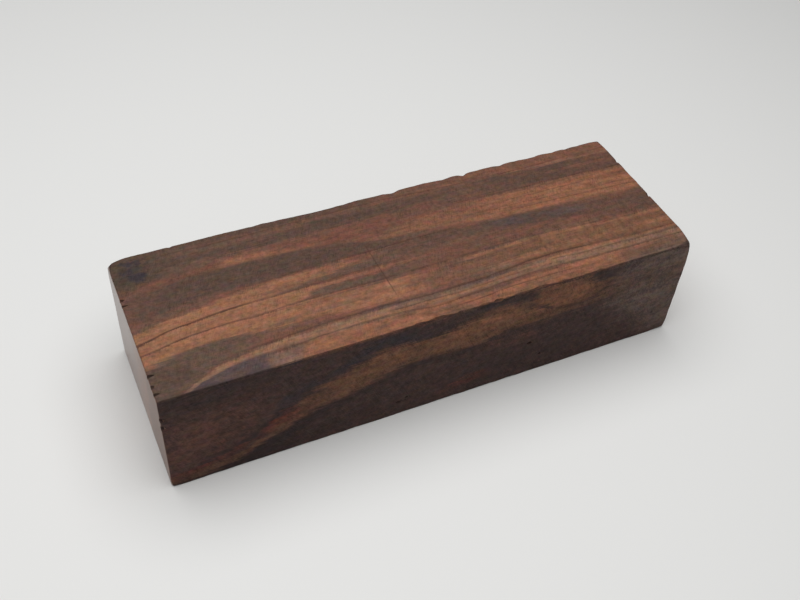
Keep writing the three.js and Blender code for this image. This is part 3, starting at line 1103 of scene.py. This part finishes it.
class WoodGroups:
    """The shared node groups of the wood, each built when it is first asked for."""

    KNOT_GRAIN = 0.7
    KNOT_RAGGED = 3.2
    KNOT_EDGE = (0.55, 1.25)
    WORN_INSET = (0.01, 0.1)
    BROKEN_INSET = (0.15, 0.5)

    def __init__(self, block: SawnBlock) -> None:
        """Takes the block that they are measured on."""
        self.block = block

    @cached_property
    def places(self) -> bpy.types.NodeTree:
        """From a point in metres to its place on the block in millimetres, its growth layer and its ray."""
        names = ("Left", "Back", "Below", "Layer", "Ray")
        outputs = dict.fromkeys(names, SocketKind.NUMBER)
        group = SharedGroup("block places", {"Point": SocketKind.VECTOR}, outputs)
        b = group.bench
        x, y, z = b.split(b.vector("DIVIDE", group.given["Point"], (MM, MM, MM)))
        left = b.math("ADD", x, self.block.length / 2)
        back = b.math("SUBTRACT", self.block.width / 2, y)
        below = b.math("SUBTRACT", self.block.height, z)
        layer = b.math("ADD", b.math("MULTIPLY_ADD", below, Growth.SLOPE, back), Growth.AT_BACK)
        ray = b.math("MULTIPLY_ADD", back, -Growth.SLOPE, below)
        for name, value in zip(names, (left, back, below, layer, ray)):
            group.put(name, value)
        return group.tree

    @cached_property
    def fibres(self) -> bpy.types.NodeTree:
        """Noise from about -1 to 1, drawn out along the grain to a length and a thickness."""
        names = ("Left", "Layer", "Ray", "Length", "Thickness", "Detail")
        inputs = dict.fromkeys(names, SocketKind.NUMBER)
        group = SharedGroup("fibres", inputs, {"Value": SocketKind.NUMBER})
        b, given = group.bench, group.given
        along = b.math("DIVIDE", given["Left"], given["Length"])
        across = b.math("DIVIDE", given["Layer"], given["Thickness"])
        deep = b.math("DIVIDE", given["Ray"], given["Thickness"])
        group.put("Value", b.signed(b.clouds(b.join(along, across, deep), detail=given["Detail"])))
        return group.tree

    @cached_property
    def mark(self) -> bpy.types.NodeTree:
        """Turns the course of one mark (path, half width and strength) into a mask."""
        names = ("Layer", "Soft", "Drag", "Feather", "Cloud", "Patchy")
        inputs = {"Course": SocketKind.COLOUR, **dict.fromkeys(names, SocketKind.NUMBER)}
        group = SharedGroup("grain mark", inputs, {"Mask": SocketKind.NUMBER})
        b, given = group.bench, group.given
        course = b.add("ShaderNodeSeparateColor")
        b.feed(course.inputs["Color"], given["Course"])
        path, half, strength = course.outputs[0:3]
        path = b.math("MULTIPLY_ADD", path, Course.LAYER_SPAN, Course.FIRST_LAYER)
        half = b.math("MULTIPLY", half, Course.HALF_SPAN)
        layer = b.math("MULTIPLY_ADD", given["Drag"], given["Feather"], given["Layer"])
        share = b.math("DIVIDE", b.math("ABSOLUTE", b.math("SUBTRACT", layer, path)), half)
        inner = b.math("SUBTRACT", 1.0, given["Soft"])
        outer = b.math("ADD", 1.0, given["Soft"])
        mask = b.math("MULTIPLY", b.span(share, inner, outer, 1.0, 0.0), strength)
        come_and_go = b.math("MULTIPLY_ADD", given["Cloud"], given["Patchy"], 1.0)
        group.put("Mask", b.math("MULTIPLY", mask, come_and_go, clamp=True))
        return group.tree

    @cached_property
    def scratches(self) -> bpy.types.NodeTree:
        """Noise from about -1 to 1, drawn out into straight saw scratches that are turned by an angle."""
        names = ("Along", "Across", "Turn", "Spacing", "Length")
        inputs = dict.fromkeys(names, SocketKind.NUMBER)
        group = SharedGroup("saw scratches", inputs, {"Value": SocketKind.NUMBER})
        b, given = group.bench, group.given
        cos, sin = b.math("COSINE", given["Turn"]), b.math("SINE", given["Turn"])
        along, across = given["Along"], given["Across"]
        way = b.math("ADD", b.math("MULTIPLY", along, cos), b.math("MULTIPLY", across, sin))
        off = b.math("SUBTRACT", b.math("MULTIPLY", across, cos), b.math("MULTIPLY", along, sin))
        place = b.join(b.math("DIVIDE", way, given["Length"]), b.math("DIVIDE", off, given["Spacing"]), 0.0)
        group.put("Value", b.signed(b.clouds(place, detail=1.0)))
        return group.tree

    @cached_property
    def knot(self) -> bpy.types.NodeTree:
        """The small dark knot by the far left corner, as a mask."""
        names = ("Left", "Back", "Below")
        group = SharedGroup("knot", dict.fromkeys(names, SocketKind.NUMBER), {"Mask": SocketKind.NUMBER})
        b = group.bench
        here = b.join(*(group.given[name] for name in names))
        ragged = self.KNOT_RAGGED
        back_by_half = b.vector("SUBTRACT", here, (ragged / 2, ragged / 2, 0))
        spread = b.tints(here, self.KNOT_GRAIN, 3.0)
        bent = b.vector("MULTIPLY_ADD", spread, (ragged, ragged, 0), back_by_half)
        mask = None
        for lobe in KNOT_LOBES:
            centre = (lobe.at.left, lobe.at.back, lobe.at.below)
            away = b.vector("LENGTH", b.vector("DIVIDE", b.vector("SUBTRACT", bent, centre), lobe.half))
            lobe_mask = b.span(away, *self.KNOT_EDGE, lobe.strength, 0.0)
            mask = lobe_mask if mask is None else b.math("MAXIMUM", mask, lobe_mask)
        group.put("Mask", mask)
        return group.tree

    @cached_property
    def wear(self) -> bpy.types.NodeTree:
        """How far a point lies inside the sawn planes, as masks of the worn arrises and the broken chips."""
        sizes = {"Left": self.block.length, "Back": self.block.width, "Below": self.block.height}
        group = SharedGroup(
            "wear",
            dict.fromkeys(sizes, SocketKind.NUMBER),
            {"Worn": SocketKind.NUMBER, "Broken": SocketKind.NUMBER},
        )
        b = group.bench
        inset = None
        for name, size in sizes.items():
            here = group.given[name]
            near = b.math("MINIMUM", here, b.math("SUBTRACT", size, here))
            inset = near if inset is None else b.math("MINIMUM", inset, near)
        group.put("Worn", b.span(inset, *self.WORN_INSET))
        group.put("Broken", b.span(inset, *self.BROKEN_INSET))
        return group.tree


class Course:
    """A mark's course along the block: path, half width and strength, as the three curves of one node."""

    FIRST_LAYER = -5.0
    LAYER_SPAN = 65.0
    HALF_SPAN = 10.0

    def __init__(self, mark: Mark, face: Side, length: float) -> None:
        """Takes the mark, the face where it shows and the block's length."""
        self.mark = mark
        self.face = face
        self.length = length

    @property
    def scale(self) -> float:
        """How many growth layers there are to a millimetre of the face."""
        return 1.0 if self.face is Side.TOP else Growth.SLOPE

    def shares(self, values: Points | float, full: float) -> list[tuple[float, float]]:
        """One number, or numbers along the block, as shares.

        Args:
            values: The number, or pairs of distance from the left end and number.
            full: The number that counts as one.

        Returns:
            Pairs of share of the length and share of the full number, from end to end.
        """
        pairs = values if isinstance(values, tuple) else ((0.0, values),)
        spots = [(left / self.length, value / full) for left, value in pairs]
        if spots[0][0] > 0:
            spots.insert(0, (0.0, spots[0][1]))
        if spots[-1][0] < 1:
            spots.append((1.0, spots[-1][1]))
        return spots

    def lay(self, b: Bench, along: bpy.types.NodeSocket) -> bpy.types.NodeSocket:
        """Lays the node that holds the course.

        Args:
            b: The bench of the material.
            along: Distance from the left end as a share of the length, in all three parts of a colour.

        Returns:
            Path, half width and strength, as the three parts of a colour.
        """
        mark = self.mark
        first = Growth.FIRST[self.face]
        path = tuple((left, first + self.scale * at - self.FIRST_LAYER) for left, at in mark.path)
        made = b.add("ShaderNodeRGBCurve", label=mark.name)
        tracks = (
            self.shares(path, self.LAYER_SPAN),
            self.shares(mark.half, self.HALF_SPAN / self.scale),
            self.shares(mark.strength, 1.0),
        )
        for curve, spots in zip(made.mapping.curves, tracks):
            while len(curve.points) < len(spots):
                curve.points.new(0.5, 0.5)
            for point, spot in zip(curve.points, spots):
                point.location = spot
                point.handle_type = "AUTO_CLAMPED"
        made.mapping.update()
        b.feed(made.inputs["Color"], along)
        return made.outputs[0]


@dataclass(frozen=True)
class Weave:
    """The wood's fine structure: how strongly each part shows in the colour, and its sizes in millimetres.

    A size is a length along the grain and a thickness, and a grain is the scale, detail and roughness of a
    noise. The growth lines give two places, then how strong they are at each.
    """

    fuzz: float = 0.07
    side_fuzz: float = 0.25
    stagger: float = 0.7
    lean: float = 0.01
    streaks: float = 0.04
    threads: float = 0.06
    speckle: float = 0.26
    mottle: float = 0.08
    clouds: float = 0.08
    scratches: float = 0.08
    side_boost: float = 0.5
    growth_lines: float = 0.075
    pores: float = 0.22
    curl: float = 0.12
    hue: tuple[float, float, float] = (0.65, 0.36, 0.7)
    hue_scale: float = 0.75
    hue_stretch: float = 0.6
    ripple: float = 0.1
    drift: float = 1.4
    drift_below: float = 10.0
    drift_from_front: tuple[float, float] = (2.0, 14.0)
    streak_size: tuple[float, float] = (14, 0.45)
    thread_size: tuple[float, float] = (3, 0.18)
    cloud_size: tuple[float, float] = (8, 2.5)
    line_size: tuple[float, float] = (60, 0.4)
    pore_size: tuple[float, float] = (1.4, 0.16)
    ripple_size: tuple[float, float] = (7, 2)
    drift_size: tuple[float, float] = (34, 9)
    speckle_grain: tuple[float, float, float] = (0.9, 3.0, 0.8)
    mottle_grain: tuple[float, float, float] = (0.35, 2.0, 0.6)
    pore_edge: tuple[float, float] = (0.5, 1.1)
    lines_along: tuple[float, float, float, float] = (40, 85, 0.3, 1)
    lines_across: tuple[float, float, float, float] = (16, 26, 0.5, 1)
    lines_lost_on_side: float = 0.6
    curl_width: float = 1.5
    curl_length: float = 8.0
    curl_from_left: tuple[float, float] = (82.0, 98.0)
    curl_to_right: tuple[float, float] = (118.0, 128.0)
    curl_from_back: tuple[float, float] = (20.0, 27.0)
    curl_to_front: tuple[float, float] = (33.0, 38.0)


@dataclass(frozen=True)
class Nick:
    """The one thin knife nick across the top face, in millimetres, and how dark it is.

    Its half width is where it is full and where it is gone. The other pairs say where it sets in and
    where it is full.
    """

    left: float = 55.9
    lean: float = 0.02
    half: tuple[float, float] = (0.03, 0.26)
    from_back: tuple[float, float] = (11.0, 19.0)
    to_front: tuple[float, float] = (36.0, 29.0)
    below: tuple[float, float] = (0.8, 0.3)
    strength: float = 0.55

    def mask(self, b: Bench, left: object, back: object, below: object) -> bpy.types.NodeSocket:
        """Lays the nick.

        Args:
            b: The bench of the material.
            left: Distance from the left end.
            back: Distance from the back.
            below: Depth below the top.

        Returns:
            A mask of it.
        """
        line = b.math("MULTIPLY_ADD", back, self.lean, self.left)
        away = b.math("ABSOLUTE", b.math("SUBTRACT", left, line))
        mask = b.span(away, *self.half, self.strength, 0.0)
        for value, (start, end) in ((back, self.from_back), (back, self.to_front), (below, self.below)):
            mask = b.math("MULTIPLY", mask, b.span(value, start, end))
        return mask


@dataclass(frozen=True)
class Heartwood:
    """The finish of the block: figured heartwood, dull from the saw, with waxed ends."""

    block: SawnBlock
    weave: Weave = Weave()
    nick: Nick = Nick()
    roughness: float = 0.62
    gloss: float = 0.1
    gloss_swing: float = 0.05
    wax: float = 1.0
    thin_wax: float = 0.6
    wax_thins: tuple[float, float] = (14.0, 40.0)
    wax_roughness: float = 0.28
    end_tone: float = 0.55
    # Darkening of the worn arrises: partly dirt, partly painted shade that dulls their highlight.
    grime_and_shade: float = 0.5
    grime_and_shade_swing: float = 0.3
    # Painted shade in the chips.
    chip_painted_shade: float = 0.4
    top_scratches: float = math.radians(-60)
    side_scratches: float = math.radians(65)
    scratch_spread: float = math.radians(18)
    scratch_spacing: float = 0.25
    scratch_length: float = 5.0
    steep_scratches: float = 0.8
    scratch_patches: float = 0.12
    scratch_comes_and_goes: tuple[float, float, float, float] = (0.35, 0.65, 0.3, 1.4)
    relief: float = 0.00002
    thread_relief: float = 0.5
    streak_relief: float = 0.4
    scratch_relief: float = 0.5
    pore_relief: float = -3.0
    facing_edge: tuple[float, float] = (0.6, 0.8)

    def material(self) -> bpy.types.Material:
        """Builds the material.

        Returns:
            The finished heartwood.
        """
        made = bpy.data.materials.new("ironwood_heartwood")
        made.use_nodes = True
        shader = made.node_tree.nodes["Principled BSDF"]
        wood = HeartwoodNodes(self, made.node_tree)
        b = wood.bench
        b.feed(shader.inputs["Base Color"], wood.worn(wood.tinted(wood.shaded(wood.figure()))))
        rough = b.math("MULTIPLY_ADD", wood.streaks, self.gloss_swing, self.roughness)
        b.feed(shader.inputs["Roughness"], rough)
        b.feed(shader.inputs["Specular IOR Level"], self.gloss)
        wax = b.span(wood.back, *self.wax_thins, self.wax, self.thin_wax)
        b.feed(shader.inputs["Coat Weight"], b.math("MULTIPLY", wood.on_end, wax))
        b.feed(shader.inputs["Coat Roughness"], self.wax_roughness)
        bump = b.add("ShaderNodeBump")
        b.feed(bump.inputs["Distance"], self.relief)
        b.feed(bump.inputs["Height"], wood.height())
        b.feed(shader.inputs["Normal"], bump.outputs["Normal"])
        return made


class HeartwoodNodes:
    """The nodes of the heartwood: places, masks and noises, and the colour and height made of them."""

    def __init__(self, finish: Heartwood, tree: bpy.types.NodeTree) -> None:
        """Takes the finish and the material's tree, and lays the places, masks and noises."""
        self.finish = finish
        self.weave = weave = finish.weave
        self.bench = b = Bench(tree)
        self.groups = WoodGroups(finish.block)
        places = b.use(self.groups.places, Point=b.add("ShaderNodeTexCoord").outputs["Object"]).outputs
        self.left, self.back, self.below, self.layer, self.ray = (
            places[name] for name in ("Left", "Back", "Below", "Layer", "Ray")
        )
        self.streaks, self.threads = self.fibre(weave.streak_size, 2), self.fibre(weave.thread_size)
        self.cloud = self.fibre(weave.cloud_size, 2)
        here = b.join(self.left, self.back, self.below)
        self.speckle, self.mottle = (
            b.signed(b.clouds(here, *grain)) for grain in (weave.speckle_grain, weave.mottle_grain)
        )
        x, y, _ = b.split(b.add("ShaderNodeTexCoord").outputs["Normal"])
        self.on_end, self.on_side = (
            b.span(b.math("ABSOLUTE", part), *finish.facing_edge) for part in (x, y)
        )
        self.scratches = self.saw_scratches()
        self.pores = b.span(self.fibre(weave.pore_size), *weave.pore_edge, 0.0, weave.pores)
        self.boost = b.math("MULTIPLY_ADD", self.on_side, weave.side_boost, 1.0)

    def fibre(self, size: tuple[float, float], detail: float = 1.0) -> bpy.types.NodeSocket:
        """Noise drawn out along the grain.

        Args:
            size: Its length and thickness.
            detail: How many finer octaves it has.

        Returns:
            The noise, from about -1 to 1.
        """
        made = self.bench.use(
            self.groups.fibres, Left=self.left, Layer=self.layer, Ray=self.ray,
            Length=size[0], Thickness=size[1], Detail=detail,
        )
        return made.outputs["Value"]

    def saw_scratches(self) -> bpy.types.NodeSocket:
        """Saw scratches, which run aslant over every face and come and go in patches.

        Returns:
            The scratches, from about -1 to 1.
        """
        b, finish = self.bench, self.finish
        along = b.mix(self.on_end, self.left, self.below)
        across = b.mix(self.on_side, self.back, self.below)
        turn = b.mix(self.on_side, finish.top_scratches, finish.side_scratches)
        steep = b.math("SUBTRACT", turn, finish.scratch_spread)
        first, second = (
            b.use(
                self.groups.scratches, Along=along, Across=across, Turn=angle,
                Spacing=finish.scratch_spacing, Length=finish.scratch_length,
            ).outputs["Value"]
            for angle in (turn, steep)
        )
        patches = b.clouds(b.join(along, across, 0.0), finish.scratch_patches, 1.0)
        patches = b.span(patches, *finish.scratch_comes_and_goes)
        return b.math("MULTIPLY", b.math("MULTIPLY_ADD", second, finish.steep_scratches, first), patches)

    def bent_layer(self) -> bpy.types.NodeSocket:
        """Bends the growth layers: a little everywhere, and more in the depth and towards the back.

        Returns:
            The bent layer, with its edges blurred by speckle and scratches.
        """
        b, weave, block = self.bench, self.weave, self.finish.block
        fuzz = b.mix(self.on_side, weave.fuzz, weave.fuzz * weave.side_fuzz)
        fuzz = b.math("MULTIPLY", b.math("ADD", self.speckle, self.scratches), fuzz)
        layer = b.math("MULTIPLY_ADD", self.fibre(weave.ripple_size), weave.ripple, self.layer)
        layer = b.math("ADD", fuzz, layer)
        deep = b.span(self.below, 0.0, weave.drift_below)
        from_front = b.span(self.back, *(block.width - way for way in weave.drift_from_front))
        drift = b.math("MULTIPLY", self.fibre(weave.drift_size), b.math("MULTIPLY", deep, from_front))
        return b.math("MULTIPLY_ADD", drift, weave.drift, layer)

    def figure(self) -> bpy.types.NodeSocket:
        """Lays the ground, every mark over it in turn, and the knot.

        Returns:
            The figure's colour.
        """
        b, weave, length = self.bench, self.weave, self.finish.block.length
        layer = self.bent_layer()
        colour = b.blend(b.span(self.cloud, -1, 1), Tone.HEART_BROWN.linear, Tone.RED_BROWN.linear)
        along = b.math("MULTIPLY_ADD", self.cloud, weave.stagger, self.left)
        along = b.math("DIVIDE", b.math("MULTIPLY_ADD", layer, weave.lean, along), length)
        reach = b.add("ShaderNodeCombineColor")
        for socket in reach.inputs[0:3]:
            b.feed(socket, along)
        for face, mark in ((face, mark) for face, marks in FIGURE.items() for mark in marks):
            course = Course(mark, face, length)
            mask = b.use(
                self.groups.mark, Course=course.lay(b, reach.outputs[0]), Layer=layer, Soft=mark.soft,
                Drag=self.streaks, Feather=mark.feather * course.scale,
                Cloud=self.cloud, Patchy=mark.patchy,
            )
            colour = b.blend(mask.outputs["Mask"], colour, mark.tone.linear)
        knot = b.use(self.groups.knot, Left=self.left, Back=self.back, Below=self.below)
        return b.blend(knot.outputs["Mask"], colour, Tone.BLUE_BLACK.linear)

    def shaded(self, colour: bpy.types.NodeSocket) -> bpy.types.NodeSocket:
        """Makes a colour lighter and darker with the fine structure of the wood.

        Args:
            colour: The figure's colour.

        Returns:
            The shaded colour.
        """
        b, weave = self.bench, self.weave
        where = b.span(self.left, *weave.lines_along)
        where = b.math("MULTIPLY", where, b.span(self.back, *weave.lines_across))
        on_top = b.math("MULTIPLY_ADD", self.on_side, -weave.lines_lost_on_side, 1.0)
        lines = b.math("MULTIPLY", self.fibre(weave.line_size), b.math("MULTIPLY", where, on_top))
        shade = b.math("SUBTRACT", 1.0, self.pores)
        for noise_value, amount in (
            (lines, weave.growth_lines),
            (self.streaks, weave.streaks),
            (self.threads, weave.threads),
            (b.math("MULTIPLY", self.speckle, self.boost), weave.speckle),
            (self.mottle, weave.mottle),
            (self.cloud, weave.clouds),
            (b.math("MULTIPLY", self.scratches, self.boost), weave.scratches),
            (self.curl(), weave.curl),
        ):
            shade = b.math("MULTIPLY_ADD", noise_value, amount, shade)
        return b.vector("SCALE", colour, shade)

    def curl(self) -> bpy.types.NodeSocket:
        """Ripples across the grain, near the right end of the top face.

        Returns:
            The ripples, from about -1 to 1.
        """
        b, weave = self.bench, self.weave
        sizes = (weave.curl_width, weave.curl_length, weave.curl_length)
        parts = zip((self.left, self.back, self.below), sizes)
        place = b.join(*(b.math("DIVIDE", part, size) for part, size in parts))
        ripples = b.signed(b.clouds(place, detail=1.0))
        along = b.window(self.left, weave.curl_from_left, weave.curl_to_right)
        across = b.window(self.back, weave.curl_from_back, weave.curl_to_front)
        return b.math("MULTIPLY", ripples, b.math("MULTIPLY", along, across))

    def tinted(self, colour: bpy.types.NodeSocket) -> bpy.types.NodeSocket:
        """Turns a colour a little redder or greener in small patches.

        Args:
            colour: The shaded colour.

        Returns:
            The tinted colour.
        """
        b, hue = self.bench, self.weave.hue
        stretched = b.join(b.math("MULTIPLY", self.left, self.weave.hue_stretch), self.back, self.below)
        tint = b.tints(stretched, self.weave.hue_scale, 2.0)
        tint = b.vector("MULTIPLY_ADD", tint, hue, tuple(1 - part / 2 for part in hue))
        return b.vector("MULTIPLY", colour, tint)

    def worn(self, colour: bpy.types.NodeSocket) -> bpy.types.NodeSocket:
        """Adds the knife nick, dirt and painted shade on the worn arrises, painted shade in the chips, and
        the paler ends.

        Args:
            colour: The tinted colour.

        Returns:
            The block's colour.
        """
        b, finish = self.bench, self.finish
        nick = finish.nick.mask(b, self.left, self.back, self.below)
        colour = b.blend(nick, colour, Tone.LINE_BROWN.linear)
        wear = b.use(self.groups.wear, Left=self.left, Back=self.back, Below=self.below).outputs
        # Worn arrises darkened: partly dirt, partly painted shade that dulls the highlight of their rounding.
        grime_and_shade = b.math("MULTIPLY_ADD", self.mottle, finish.grime_and_shade_swing, finish.grime_and_shade)
        grime_and_shade = b.math("MULTIPLY", wear["Worn"], grime_and_shade, clamp=True)
        colour = b.blend(grime_and_shade, colour, Tone.VEIN_BLACK.linear)
        # Painted shade in the chips: their broken wood darkened as if in shadow.
        chips = b.math("MULTIPLY", wear["Broken"], finish.chip_painted_shade)
        colour = b.blend(chips, colour, Tone.VEIN_BLACK.linear)
        return b.blend(b.math("MULTIPLY", self.on_end, finish.end_tone), colour, Tone.LIGHT_ORANGE.linear)

    def height(self) -> bpy.types.NodeSocket:
        """The relief of threads, streaks, scratches and pores.

        Returns:
            A height for the bump.
        """
        b, finish = self.bench, self.finish
        speckle = b.math("MULTIPLY", self.speckle, self.boost)
        scratches = b.math("MULTIPLY", self.scratches, self.boost)
        height = b.math("MULTIPLY_ADD", self.streaks, finish.streak_relief, speckle)
        height = b.math("MULTIPLY_ADD", self.threads, finish.thread_relief, height)
        height = b.math("MULTIPLY_ADD", scratches, finish.scratch_relief, height)
        return b.math("MULTIPLY_ADD", self.pores, finish.pore_relief, height)


@dataclass
class Studio:
    """The plain pale table, the soft light over it and the camera."""

    floor_side: float = 6.0
    floor_shade: float = 0.76
    floor_warmth: float = 0.985
    floor_roughness: float = 0.6
    floor_gloss: float = 0.2
    lamp_side: float = 0.6
    lamp_place: tuple[float, float, float] = (-0.05, 0.01, 0.42)
    lamp_power: float = 2.3
    sky: float = 0.16
    lens: float = 45.1
    sensor: float = 36.0
    eye: tuple[float, float, float] = (-0.080, -0.14956, 0.188)
    aim: tuple[float, float, float] = (-0.00179, -0.00059, 0.015)
    roll: float = math.radians(4.546)

    def floor(self) -> bpy.types.Object:
        """Lays the table top.

        Returns:
            The floor, marked as not part of the block.
        """
        mesh = bpy.data.meshes.new("table_top")
        half = self.floor_side / 2
        corners = [(-half, -half, 0), (half, -half, 0), (half, half, 0), (-half, half, 0)]
        mesh.from_pydata(corners, [], [(0, 1, 2, 3)])
        floor = bpy.data.objects.new("table_top", mesh)
        bpy.context.collection.objects.link(floor)
        paint = bpy.data.materials.new("table_paint")
        paint.use_nodes = True
        shader = paint.node_tree.nodes["Principled BSDF"]
        shade = self.floor_shade
        shader.inputs["Base Color"].default_value = (shade, shade, shade * self.floor_warmth, 1)
        shader.inputs["Roughness"].default_value = self.floor_roughness
        shader.inputs["Specular IOR Level"].default_value = self.floor_gloss
        mesh.materials.append(paint)
        return floor

    def lamp(self) -> bpy.types.Object:
        """Hangs the broad soft lamp over the table.

        Returns:
            The lamp.
        """
        light = bpy.data.lights.new("overhead_softbox", "AREA")
        light.shape = "DISK"
        light.size = self.lamp_side
        light.energy = self.lamp_power
        lamp = bpy.data.objects.new("overhead_softbox", light)
        lamp.location = self.lamp_place
        bpy.context.collection.objects.link(lamp)
        return lamp

    def world(self) -> None:
        """Fills the room with a little even light."""
        room = bpy.data.worlds.new("room")
        room.use_nodes = True
        room.node_tree.nodes["Background"].inputs["Color"].default_value = (1, 1, 1, 1)
        room.node_tree.nodes["Background"].inputs["Strength"].default_value = self.sky
        bpy.context.scene.world = room

    def camera(self) -> bpy.types.Object:
        """Sets the camera where the picture was taken from.

        Returns:
            The camera.
        """
        data = bpy.data.cameras.new("portrait")
        data.lens = self.lens
        data.sensor_width = self.sensor
        data.clip_start = 0.01
        camera = bpy.data.objects.new("portrait", data)
        bpy.context.collection.objects.link(camera)
        eye, aim = Vector(self.eye), Vector(self.aim)
        turn = (aim - eye).to_track_quat("-Z", "Y").to_matrix().to_4x4()
        camera.matrix_world = Matrix.Translation(eye) @ turn @ Matrix.Rotation(self.roll, 4, "Z")
        bpy.context.scene.camera = camera
        return camera

    def build(self) -> None:
        """Sets up the whole studio."""
        bpy.context.scene.view_settings.view_transform = "Standard"
        self.floor()
        self.lamp()
        self.world()
        self.camera()


def main() -> None:
    """Builds the block and the studio."""
    logging.basicConfig(level=logging.INFO, format="%(message)s")
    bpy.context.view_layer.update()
    shape = SawnBlock()
    block = shape.build()
    block.name = "heartwood_block"
    block.data.materials.clear()
    block.data.materials.append(Heartwood(shape).material())
    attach(block, "root")
    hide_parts(NODE)
    log.info("%s: %d marks in its figure", block.name, sum(len(marks) for marks in FIGURE.values()))
    Studio().build()
    log.info("studio: table, lamp, room and camera")


if __name__ == "__main__":
    main()
